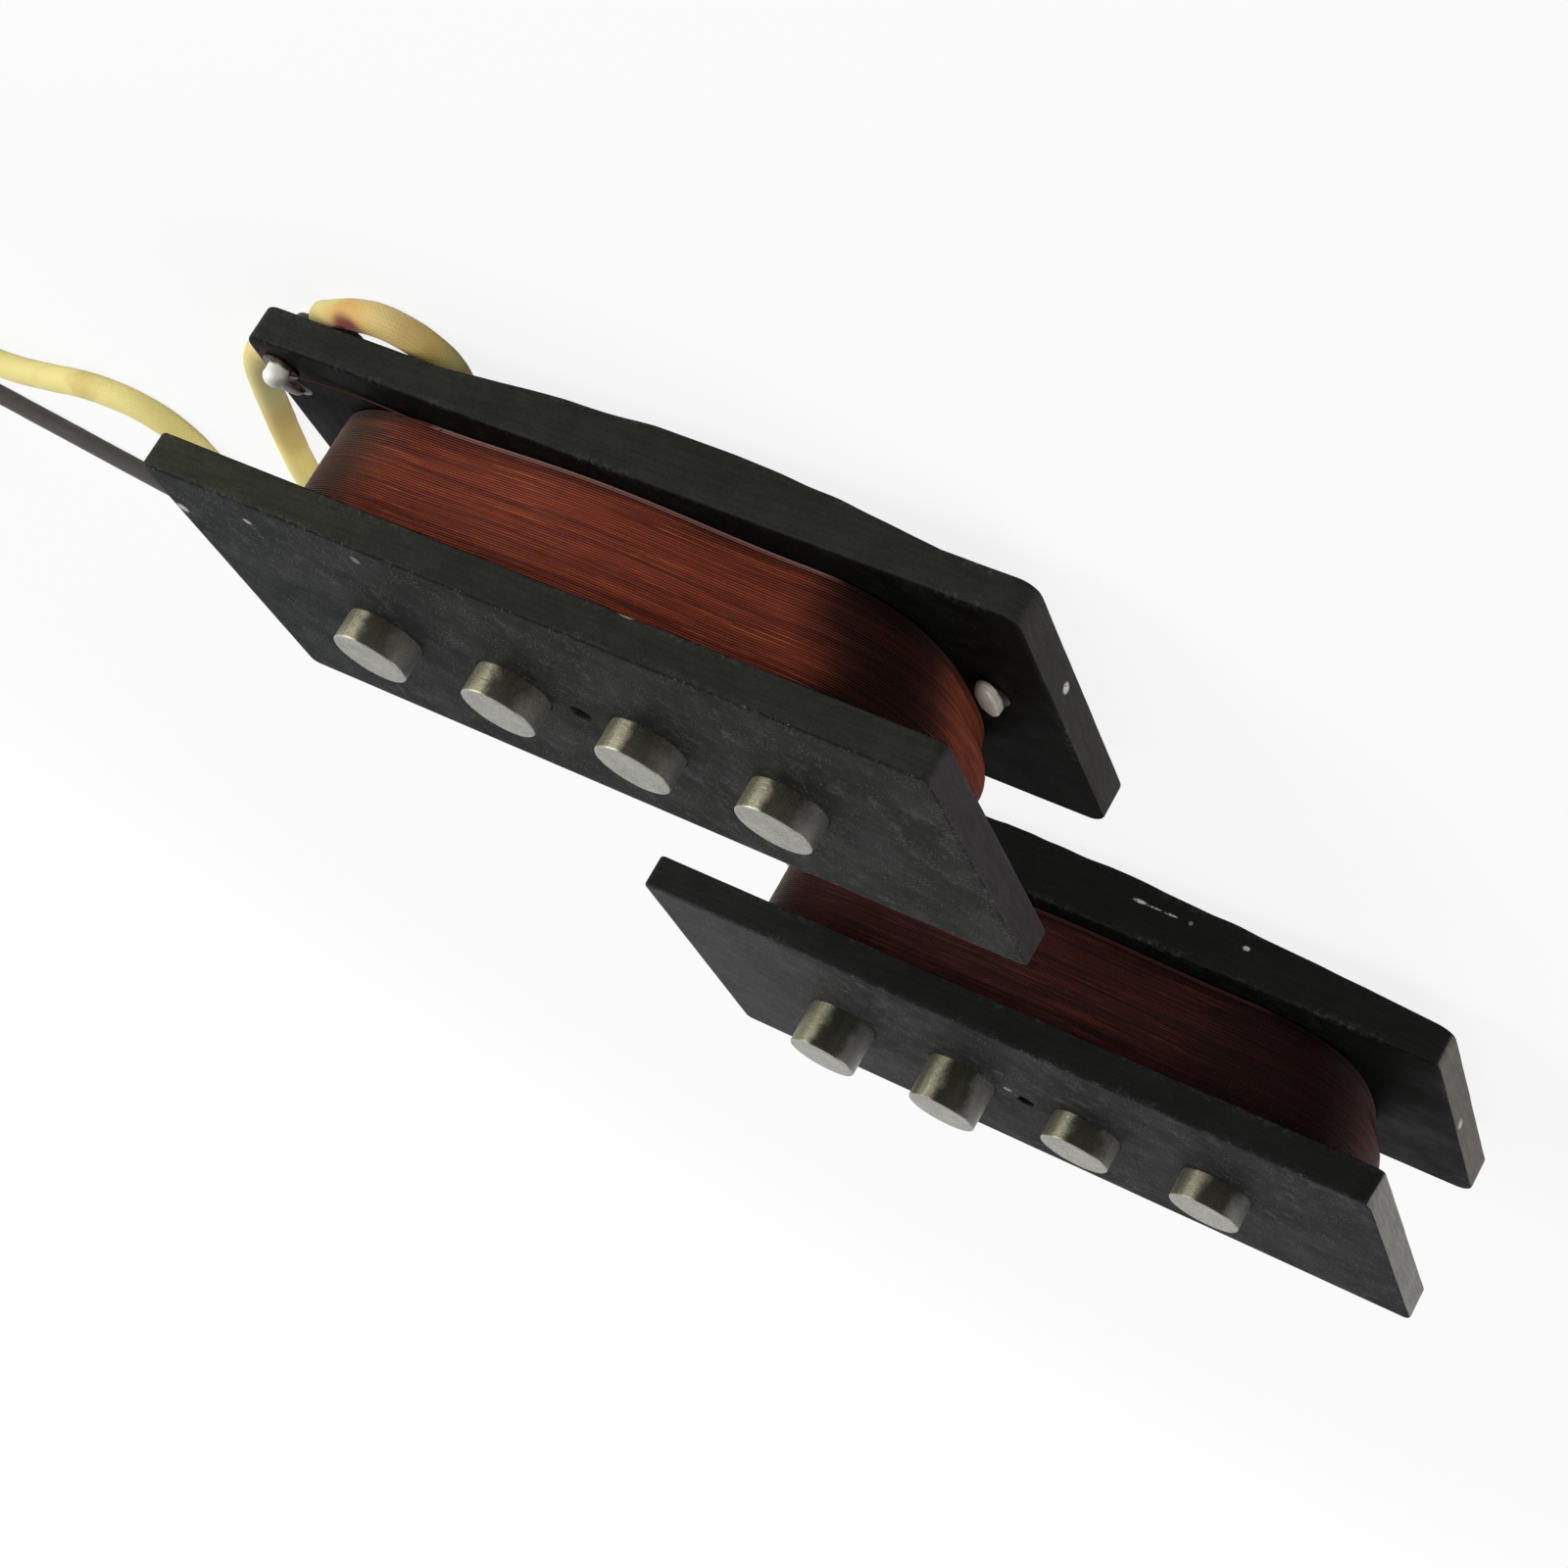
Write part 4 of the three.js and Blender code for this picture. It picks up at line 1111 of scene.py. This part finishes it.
MARK_SHARES = {
    "half_a_top_plate": [
        ((0.012, 0.806, 1.0), (0.0005, 0.0006, 0.0004), 190),
        ((0.129, 0.894, 1.0), (0.0004, 0.0004, 0.0004), 160),
        ((0.288, 0.930, 1.0), (0.0004, 0.0005, 0.0004), 120),
        ((0.623, 0.998, 0.0), (0.0008, 0.0004, 0.0002), 185),
    ],
    "half_a_bottom_plate": [((1.0, 0.61, 0.63), (0.0004, 0.0006, 0.0004), 205)],
    "half_b_top_plate": [((0.481, 0.542, 1.0), (0.0004, 0.0004, 0.0004), 170)],
    "half_b_bottom_plate": [
        ((0.586, 1.0, 0.39), (0.0006, 0.0004, 0.00016), 205),
        ((0.606, 1.0, 0.40), (0.0007, 0.0004, 0.00008), 170),
        ((0.629, 1.0, 0.405), (0.0006, 0.0004, 0.0001), 175),
        ((0.656, 1.0, 0.41), (0.0002, 0.0004, 0.0002), 120),
        ((0.732, 1.0, 0.445), (0.0003, 0.0004, 0.0002), 200),
        ((1.0, 0.506, 0.85), (0.0004, 0.0008, 0.0004), 180),
    ],
}

# Chips in the plates' edges: shares of the node's box, reach and depth

CHIP_SHARES = {
    "half_a_top_plate": [((0.621, 1.0, 0.0), 0.0009, 0.00025)],
    "half_a_bottom_plate": [((0.46, 1.0, 0.0), 0.0025, 0.0002)],
    "half_b_top_plate": [((1.0, 1.0, 1.0), 0.0012, 0.0003)],
    "half_b_bottom_plate": [((0.6, 1.0, 0.0), 0.0014, 0.0002)],
}


def spot(node, shares):
    """A place given as shares of a node's box."""
    low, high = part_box(node)
    return tuple(low[i] + (high[i] - low[i]) * shares[i] for i in range(3))


def placed(node, rows):
    """The rows of a table, with shares of a node's box turned into places."""
    return [(spot(node, shares), *rest) for shares, *rest in rows]


def coloured(settings, rows):
    """The rows of a table, with the name of each one's colour turned into the colour."""
    return [(centre, reach, getattr(settings, name), strength) for centre, reach, name, strength in rows]


def own_values(settings, half, *names):
    """What the settings say about one of the halves."""
    return [getattr(settings, f"{name}_{half[-1]}") for name in names]


def plate_thickness(half):
    """The thickness of a half's plates."""
    low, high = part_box(f"{half}_top_plate")
    return high.z - low.z


class PICKUP_OT_plates(bpy.types.Operator):
    """Make the four black fibre plates, with their holes, rounded rims and worn edges"""
    bl_idname = "pickup.plates"
    bl_label = "Plates"

    def execute(self, context):
        settings = context.scene.pickup.plates
        flux = context.scene.pickup.solder.flux
        for half in HALVES:
            near_tone, far_tone, *sides = own_values(settings, half, "near", "far", "side_near", "side_far")
            for layer, coil_side in (("top", -1), ("bottom", 1)):
                node = f"{half}_{layer}_plate"
                low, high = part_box(node)
                reach = (low.x, low.x + LEAD_END_SHARE * (high.x - low.x))
                stains = []
                if layer == "bottom":
                    sides = (sides[-1], sides[-1])
                    for eyelet, run in FLUX_REACHES.items():
                        centre = (*middle(f"{half}_{eyelet}_eyelet").xy, high.z)
                        stains.append((centre, run, flux, FLUX_STRENGTH))
                tones = (near_tone, far_tone, *sides, *own_values(settings, half, f"sawn_{layer}"), reach)
                marks = placed(node, MARK_SHARES[node])
                material = fibre_material(node + "_fibre", tones, settings, coil_side, marks, stains)
                self.make_plate(settings, half, layer, material)
        return {"FINISHED"}

    def make_plate(self, settings, half, layer, material):
        node = f"{half}_{layer}_plate"
        low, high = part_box(node)
        outlines = [straight_and_round(low, high, getattr(settings, f"corner_{layer}"), spacing=0.5 * MM)]
        roundings = [settings.rounding]
        for number in range(1, 5):
            rod = f"{half}_magnet_{number}"
            rod_low, rod_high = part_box(rod)
            radius = (rod_high.x - rod_low.x) / 2 + settings.press_gap
            outlines.append(hole_outline(middle(rod), radius, sides=64))
            roundings.append(settings.hole_rounding)
        belly = None
        if layer == "top":
            outlines.append(hole_outline(middle(f"{half}_coil_core"), CENTRE_HOLE_RADIUS))
            roundings.append(settings.hole_rounding)
        else:
            for eyelet in EYELETS:
                outlines.append(hole_outline(middle(f"{half}_{eyelet}_eyelet"), EYELET_HOLE_RADIUS))
                roundings.append(0.4 * settings.hole_rounding)
            top_low, top_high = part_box(f"{half}_top_plate")
            middle_x, half_length = (top_low.x + top_high.x) / 2, (top_high.x - top_low.x) / 2
            places = [middle_x + share * half_length for share in BELLY_SHARES[half]]
            belly = (*own_values(settings, half, "belly"), *places)
        chips = placed(node, CHIP_SHARES[node])
        under = high.z - plate_thickness(half)
        name = node + "_fibre"
        mesh = plate_mesh(name, outlines, under, high.z, roundings, settings.saw_wander, chips, belly)
        settle(new_object(name, mesh), "plates", node, material=material)


class PICKUP_OT_magnets(bpy.types.Operator):
    """Make the eight rod magnets, with their chamfered poles"""
    bl_idname = "pickup.magnets"
    bl_label = "Magnets"

    def execute(self, context):
        settings = context.scene.pickup.magnets
        low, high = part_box("half_a_magnet_1")
        radius, length = (high.x - low.x) / 2, high.z - low.z
        profile = [(radius - 1.5 * settings.chamfer, 0)]
        profile += [(radius - inset, rise) for inset, rise in rounded_corner(settings.chamfer)]
        profile += [(ring_radius, length - height) for ring_radius, height in reversed(profile)]
        rod = new_object("rod", turned_mesh("rod", profile, settings.sides))
        for half in HALVES:
            ground, cast = own_values(settings, half, "ground", "cast")
            material = magnet_material(f"alloy_{half}", ground, cast, settings.tarnish)
            nodes = [f"{half}_magnet_{number}" for number in range(1, 5)]
            stand_copies(f"{half}_magnets", rod, material, "magnets", nodes)
        bpy.data.objects.remove(rod)
        return {"FINISHED"}


# Coils

def coil_outline(straight, half_width, bulge, fullness, centre):
    """A closed loop round a coil, clockwise from above, from the middle of its -Y side."""
    points = []
    side_steps, end_steps = 40, 40
    for sign in (-1, 1):
        for i in range(side_steps):
            x = straight * (2 * i / side_steps - 1)
            swell = bulge * math.cos(math.pi / 2 * x / straight) ** 2
            points.append(Vector((sign * x, sign * (half_width + swell), 0)))
        for i in range(end_steps):
            angle = math.pi / 2 - math.pi * i / end_steps
            reach = half_width
            if sign > 0:
                reach *= 1 + fullness * math.sin(2 * angle) ** 2
            x, y = straight + reach * math.cos(angle), reach * math.sin(angle)
            points.append(Vector((sign * x, sign * y, 0)))
    points = points[side_steps // 2:] + points[:side_steps // 2]
    return [point + Vector((centre.x, centre.y, 0)) for point in points]


# Darker patches on each coil: shares of the core's box, reach, its colour and strength; the shellac_and_shade
# patches by half A's far end are painted shade

LACQUER_AND_SHADE_SHARES = {
    "half_a": [
        ((0.035, 0.90, 0.53), (0.0082, 0.0110, 0.0200), "resin", 0.88),
        ((0.915, 0.885, 0.19), (0.0064, 0.0066, 0.0046), "shellac_and_shade", 0.97),
        ((0.965, 0.850, 0.80), (0.0066, 0.0066, 0.0046), "shellac_and_shade", 0.97),
    ],
    "half_b": [
        ((0.0, 0.90, 0.53), (0.0045, 0.0100, 0.0200), "resin", 0.5),
        ((0.89, 0.944, 0.53), (0.0085, 0.0120, 0.0200), "shellac_and_shade", 0.8),
    ],
}


class PICKUP_OT_coils(bpy.types.Operator):
    """Wind the two coils with fine wire, lead its end in from the solder, and finish the inner layers"""
    bl_idname = "pickup.coils"
    bl_label = "Coils"

    def execute(self, context):
        settings = context.scene.pickup.coils
        core = core_material(settings)
        for half in HALVES:
            node = f"{half}_coil_core"
            tones = own_values(settings, half, "dark", "warm", "bright", "glint")
            thick = coloured(settings, placed(node, LACQUER_AND_SHADE_SHARES[half]))
            glint = [middle(node).x + away for away in GLINT_REACH]
            wire = wire_material(f"copper_{half}", tones, thick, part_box(node)[0].z, *glint)
            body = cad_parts[node]
            paint(body, core)
            self.wind(settings, half, wire)
        return {"FINISHED"}

    def wind(self, settings, half, material):
        low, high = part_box(f"{half}_coil_core")
        lead_low, lead_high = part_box(f"{half}_coil_winding")
        centre = (low + high) / 2
        wire = settings.wire
        half_length = lead_high.x - centre.x - wire / 2
        half_width = (lead_high.y - lead_low.y) / 2 - settings.bulge - wire / 2
        straight = half_length - half_width
        loop = coil_outline(straight, half_width, settings.bulge, settings.fullness, centre)
        bottom, top = low.z + wire / 2, high.z - wire / 2
        pitch = 0.97 * wire
        winding = made_by(winding_tree, f"{half}_winding", loop_mesh(loop), {
            "Wire": wire,
            "Turns": int((top - bottom) / pitch),
            "Points": settings.points,
            "Lowest": bottom,
            "Highest": top,
            "Unevenness": settings.unevenness,
            "Draw From": centre.x + straight,
            "Draw Share": settings.draw_in / half_width,
            "Draw Height": settings.draw_height,
            "Material": material,
        })
        settle(winding, "coil_wire", f"{half}_coil_winding")
        self.lead_out(half, Vector((centre.x - straight, centre.y + half_width, bottom)), wire, material)

    def lead_out(self, half, touch, wire, material):
        sag, steps = 0.25 * MM, 8
        start = Vector((*middle(f"{half}_finish_solder").xy, touch.z + 0.35 * MM))
        touch = touch + 0.2 * MM * UP
        shares = [i / steps for i in range(steps + 1)]
        path = [start.lerp(touch, share) - sag * math.sin(math.pi * share) * UP for share in shares]
        path.append(touch + Vector((1.2 * MM, 0.12 * MM, 0)))
        name = f"{half}_lead_out"
        settle(new_object(name, tube_mesh(name, path, wire / 2, sides=8)), "coil_wire", material=material)


# Solder and eyelets

def blob_mesh(name, centre, reach, foot, tail, way=1):
    """A lump of solder on a flat base: it flares at its foot, and may run out in a tail along X."""
    rows, sides = 14, 32
    shoulder_share, flare_share, stained_share = 0.47, 0.25, 0.35
    points, feet = [], []
    for row in range(rows):
        share = row / (rows - 1)
        swell = math.sqrt(max(0.0, 1 - (1.9 * share - 0.9) ** 2)) if share > shoulder_share else 1.0
        flare = foot * (1 - min(1.0, share / flare_share)) ** 2
        for k in range(sides):
            angle = math.tau * k / sides
            x, y = math.cos(angle) * (swell + flare), math.sin(angle) * (swell + flare)
            if x > 0:
                x *= 1 + tail * (1 - share)
            dent = 1 + 0.07 * noise.noise(Vector((x, y, share * 2)) * 1.7 + centre * 900)
            points.append(centre + Vector((reach[0] * x * dent, reach[1] * y * dent, way * reach[2] * share)))
            feet.append(1 - min(1.0, share / stained_share))
    mesh = mesh_from(name, points, (), ring_faces(rows, sides) + end_caps(rows, sides))
    layer = mesh.attributes.new("foot", "FLOAT", "POINT")
    layer.data.foreach_set("value", feet)
    return outward(mesh, sharp_degrees=60)


class PICKUP_OT_solder(bpy.types.Operator):
    """Make the eyelets, and the solder on and under them"""
    bl_idname = "pickup.solder"
    bl_label = "Eyelets and solder"

    def execute(self, context):
        settings = context.scene.pickup.solder
        self.make_eyelets(eyelet_material(settings))
        burnt = flux_material(settings)
        kinds = (
            ("finish", solder_material("bright_solder", settings.tin, settings), 1.0, 0.02, 0.2, 1),
            ("start", solder_material("dull_solder", settings.dull_tin, settings), 0.86, 0.05, 0.05, 1),
            ("lead", burnt, 1.0, 0.15, 0.2, -1),
        )
        for half in HALVES:
            for place, material, fullness, foot, tail, way in kinds:
                node = f"{half}_{place}_solder"
                low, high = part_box(node)
                reach = fullness * (high - low) / 2
                centre = Vector((*middle(node).xy, low.z if way > 0 else high.z))
                mesh = blob_mesh(node, centre, (reach.x, reach.y, high.z - low.z), foot, tail, way)
                settle(new_object(node + "_tin", mesh), "solder", node, material=material)
        self.drop_flux(burnt)
        return {"FINISHED"}

    def drop_flux(self, material):
        """Burnt flux beside each ball, and a lump under half A's plate where the lead leaves its solder."""
        for half in HALVES:
            ball = middle(f"{half}_finish_solder")
            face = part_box(f"{half}_bottom_plate")[1].z
            centre = Vector((ball.x - 0.6 * MM, ball.y - 2.3 * MM, face))
            mesh = blob_mesh(f"{half}_flux", centre, (0.95 * MM, 0.7 * MM, 0.45 * MM), foot=0.3, tail=0.35)
            settle(new_object(f"{half}_flux", mesh), "solder", material=material)
        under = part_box("half_a_bottom_plate")[1].z - plate_thickness("half_a")
        centre = Vector((-0.0295, 0.03355, under))
        mesh = blob_mesh("lead_flux", centre, (1.1 * MM, 0.75 * MM, 0.5 * MM), foot=0.2, tail=0.1, way=-1)
        settle(new_object("lead_flux", mesh), "solder", material=material)

    def make_eyelets(self, material):
        nodes = [f"{half}_{place}_eyelet" for half in HALVES for place in EYELETS]
        low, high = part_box(nodes[0])
        flange, height = (high.x - low.x) / 2, high.z - low.z
        bore, barrel, sheet, bevel = 0.4 * MM, 0.65 * MM, 0.2 * MM, 0.06 * MM
        profile = [(bore, 0), (bore + 0.1 * MM, 0), (flange - 0.1 * MM, 0), (flange, bevel),
                   (flange, sheet - bevel), (flange - 0.08 * MM, sheet), (barrel, sheet)]
        profile += [(radius, height - rise) for radius, rise in reversed(profile)]
        eyelet = new_object("eyelet", turned_mesh("eyelet", profile, sides=40, hollow=True))
        stand_copies("eyelets", eyelet, material, "eyelets", nodes)
        bpy.data.objects.remove(eyelet)


# Leads

def smooth_route(route, height, spacing):
    """A smooth curve through the points of a route, level at a height, with points about evenly spaced."""
    points = [Vector((x, y, height)) for x, y in route]
    ends = [2 * points[0] - points[1], *points, 2 * points[-1] - points[-2]]
    path = []
    for before, start, end, after in zip(ends, ends[1:], ends[2:], ends[3:]):
        times = [0.0]
        for one, two in ((before, start), (start, end), (end, after)):
            times.append(times[-1] + math.sqrt((two - one).length))
        steps = max(1, round((end - start).length / spacing))
        for step in range(steps):
            t = times[1] + (times[2] - times[1]) * step / steps
            first = [one.lerp(two, (t - times[i]) / (times[i + 1] - times[i]))
                     for i, (one, two) in enumerate(((before, start), (start, end), (end, after)))]
            second = [first[i].lerp(first[i + 1], (t - times[i]) / (times[i + 2] - times[i])) for i in (0, 1)]
            path.append(second[0].lerp(second[1], (t - times[1]) / (times[2] - times[1])))
    return path + [points[-1]]


def coil_path(centre, radius, turns, start, way, diameter, turn_gap):
    """A flat coil that winds inwards, lifts over its tie, curls in and ends in a short straight."""
    steps, curl_steps = 72, 12
    lift_share, curl_widths = 0.13, 2.1
    tie_lift = 0.45 * MM
    level = diameter / 2
    pitch = diameter + turn_gap

    def around(reach, angle, height):
        return Vector((reach * math.cos(angle), reach * math.sin(angle), height))

    path = []
    for i in range(turns * steps + 1):
        turn = i / steps
        away = abs(turn - TIE_SHARE - round(turn - TIE_SHARE))
        lift = tie_lift * math.cos(math.pi / 2 * away / lift_share) ** 2 if away < lift_share else 0.0
        path.append(around(radius - pitch * turn, start + way * math.tau * turn, level + lift))
    inner = start + way * math.tau * turns
    curl = curl_widths * diameter
    curl_middle = around(radius - pitch * turns - curl, inner, level)
    for i in range(1, curl_steps + 1):
        path.append(curl_middle + curl * around(1, inner + way * math.pi / 2 * i / curl_steps, 0))
    path.append(path[-1] + diameter * around(1, inner + way * math.pi, 0))
    return [point + Vector((*centre, 0)) for point in path]


class PICKUP_OT_leads(bpy.types.Operator):
    """Lay the two cloth-covered leads, put away in tied coils, with their bare ends"""
    bl_idname = "pickup.leads"
    bl_label = "Leads"

    def execute(self, context):
        settings = context.scene.pickup.leads
        stains = coloured(settings, YELLOW_STAINS)
        yellow = cloth_material("yellow_cloth", settings.yellow, settings.yellow_stain, yarns_round=12,
                                stains=stains)
        black = cloth_material("black_cloth", settings.black, settings.faded, yarns_round=10)
        tinned, thread = tinned_material(settings), thread_material(settings)
        for colour, route, cloth in (("yellow", YELLOW_ROUTE, yellow), ("black", BLACK_ROUTE, black)):
            self.lay(settings, colour, route, (cloth, tinned, thread))
        return {"FINISHED"}

    def lay(self, settings, colour, route, materials):
        cloth, tinned, thread = materials
        centre, start_degrees, way = COILS[colour]
        start = math.radians(start_degrees)
        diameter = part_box(f"{colour}_lead")[1].z
        radius, turns = getattr(settings, f"{colour}_radius"), getattr(settings, f"{colour}_turns")
        coil = coil_path(centre, radius, turns, start, way, diameter, settings.turn_gap)
        path = smooth_route(route, diameter / 2, 0.3 * MM) + coil
        mesh = tube_mesh(f"{colour}_cord", path, diameter / 2, sides=16, wobble=0.02)
        nodes = (f"{colour}_lead", f"{colour}_lead_coil")
        cord = settle(new_object(f"{colour}_cord", mesh), f"{colour}_cloth", *nodes, material=cloth)
        tip = self.bare_end(colour, path, tinned)
        stand = Matrix.Translation((*centre, 0)) @ Matrix.Rotation(start + way * math.tau * TIE_SHARE, 4, "Z")
        band = self.bind(settings, colour, stand, diameter, thread)

    def bare_end(self, colour, path, material):
        node = f"{colour}_lead_tip"
        low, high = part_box(node)
        inside = 0.3 * MM
        heading = (path[-1] - path[-2]).normalized()
        width = high.z - low.z
        start = Vector((*path[-1].xy, (low.z + high.z) / 2))
        length = (middle(node) - start).dot(heading) * 2
        line = mesh_from("line", [start - heading * inside, start + heading * length], [(0, 1)])
        strand = width / 3
        strands = made_by(strands_tree, f"{colour}_bare_end", line, {
            "Strands": 7,
            "Strand": strand,
            "Reach": width / 2 - strand / 2,
            "Lay": 4 * width,
            "Material": material,
        })
        return settle(strands, "tinned_wire", node)

    def bind(self, settings, colour, stand, diameter, material):
        """Thread round the turns of a coil, wound about Z and then stood up across them."""
        radius, turns = getattr(settings, f"{colour}_radius"), getattr(settings, f"{colour}_turns")
        pitch = diameter + settings.turn_gap
        thread = settings.thread
        clearance, overlap, height = 0.25 * MM, 0.1 * MM, diameter + 0.9 * MM
        inner = radius - pitch * (turns - 0.5) - diameter / 2 - clearance
        outer = radius - pitch * 0.5 + diameter / 2 + clearance
        low = Vector((inner - thread / 2 + overlap, thread / 2, 0))
        high = Vector((outer + thread / 2 - overlap, height - thread / 2, 0))
        corners = straight_and_round(low, high, radius=0.5 * MM, spacing=0.4 * MM)
        outline = [Vector((*point, 0)) for point, _ in corners]
        reach = thread * settings.thread_turns / 2
        wraps = made_by(winding_tree, f"{colour}_tie_thread", loop_mesh(outline), {
            "Wire": thread,
            "Turns": settings.thread_turns,
            "Points": 64,
            "Lowest": -reach,
            "Highest": reach,
            "Unevenness": 0.3,
            "Material": material,
        }, stand @ Matrix.Rotation(math.pi / 2, 4, "X"))
        return settle(wraps, "tie_thread", f"{colour}_lead_tie")


# Stage

class PICKUP_OT_stage(bpy.types.Operator):
    """Set the camera, the soft lights and the pale floor"""
    bl_idname = "pickup.stage"
    bl_label = "Stage"

    def execute(self, context):
        settings = context.scene.pickup.stage
        context.scene.view_settings.view_transform = "Standard"
        self.set_camera(context, settings)
        self.set_sky(context, settings)
        low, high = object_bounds()
        target = Vector((0, 0, (low.z + high.z) / 2))
        self.add_light(context, "key", settings.key, Vector((-0.77, 0.54, 0.34)), target, size=0.3)
        self.add_light(context, "fill", settings.fill, Vector((0.84, -0.22, 0.5)), target, size=0.25)
        self.add_floor(settings)
        return {"FINISHED"}

    def set_camera(self, context, settings):
        data = bpy.data.cameras.new("camera")
        data.sensor_width = 36.0
        data.lens = settings.lens
        data.clip_start = 1 * MM
        camera = bpy.data.objects.new("camera", data)
        context.scene.collection.objects.link(camera)
        ahead = Vector(settings.ahead).normalized()
        right = ahead.cross(Vector(settings.above)).normalized()
        above = right.cross(ahead)
        turn = Matrix((right, above, -ahead)).transposed()
        camera.matrix_world = Matrix.Translation(Vector(settings.place)) @ turn.to_4x4()
        context.scene.camera = camera

    def set_sky(self, context, settings):
        world = bpy.data.worlds.new("sky")
        world.use_nodes = True
        context.scene.world = world
        background = world.node_tree.nodes["Background"].inputs
        fill(background["Color"], (1, 1, 1, 1))
        fill(background["Strength"], ramped(seen(world.node_tree), 0.0, 1.0, settings.sky, 1.0))

    def add_light(self, context, name, power, way, target, size, distance=0.45):
        data = bpy.data.lights.new(name, "AREA")
        data.energy = power
        data.size = size
        light = bpy.data.objects.new(name, data)
        place = target + distance * way
        turn = (target - place).to_track_quat("-Z", "Y").to_matrix().to_4x4()
        light.matrix_world = Matrix.Translation(place) @ turn
        context.scene.collection.objects.link(light)

    def add_floor(self, settings):
        reach = 3.0
        corners = [(-reach, -reach, 0), (reach, -reach, 0), (reach, reach, 0), (-reach, reach, 0)]
        floor = new_object("floor", mesh_from("floor", corners, (), [(0, 1, 2, 3)]))
        material, tree, shader = new_material("floor_paper")
        fill(shader.inputs["Base Color"], opaque(settings.floor_colour))
        fill(shader.inputs["Roughness"], 0.9)
        # Past the object the paper goes over into plain white
        away = vector_reckoned("LENGTH", object_place(tree))
        white = times(seen(tree), ramped(away, 0.1, 0.3, 0.86, 1.0))
        glow = put(tree, "ShaderNodeEmission", {"Color": (1, 1, 1, 1), "Strength": 1.0}).outputs[0]
        blend = result("ShaderNodeMixShader", {0: white, 1: shader.outputs[0], 2: glow})
        fill(tree.nodes["Material Output"].inputs["Surface"], blend)
        floor.data.materials.append(material)
        floor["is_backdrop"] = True


def seen(tree):
    """1 for what the camera sees, straight or by reflection or through glass."""
    path = put(tree, "ShaderNodeLightPath").outputs
    both = reckoned("MAXIMUM", path["Is Camera Ray"], path["Is Glossy Ray"])
    return reckoned("MAXIMUM", both, path["Is Transmission Ray"])


class PICKUP_PT_panel(bpy.types.Panel):
    """Lists the pieces of the pickup and what makes them"""
    bl_label = "Pickup"
    bl_idname = "PICKUP_PT_panel"
    bl_space_type = "VIEW_3D"
    bl_region_type = "UI"
    bl_category = "Pickup"

    def draw(self, context):
        for maker in MAKERS:
            self.layout.operator(maker.bl_idname)


MAKERS = (PICKUP_OT_stage, PICKUP_OT_leads, PICKUP_OT_plates, PICKUP_OT_magnets, PICKUP_OT_coils,
          PICKUP_OT_solder)
SETTINGS = (StageSettings, PlateSettings, MagnetSettings, CoilSettings, SolderSettings, LeadSettings,
            PickupSettings)
CLASSES = (*SETTINGS, *MAKERS, PICKUP_PT_panel)


def register():
    """Registers the classes and the scene's settings."""
    for each in CLASSES:
        bpy.utils.register_class(each)
    bpy.types.Scene.pickup = PointerProperty(type=PickupSettings)


def unregister():
    """Takes the settings and the classes away again."""
    del bpy.types.Scene.pickup
    for each in reversed(CLASSES):
        bpy.utils.unregister_class(each)


def main():
    """Makes every piece in order."""
    register()
    for maker in MAKERS:
        group, name = maker.bl_idname.split(".")
        getattr(getattr(bpy.ops, group), name)()


if __name__ == "__main__":
    main()
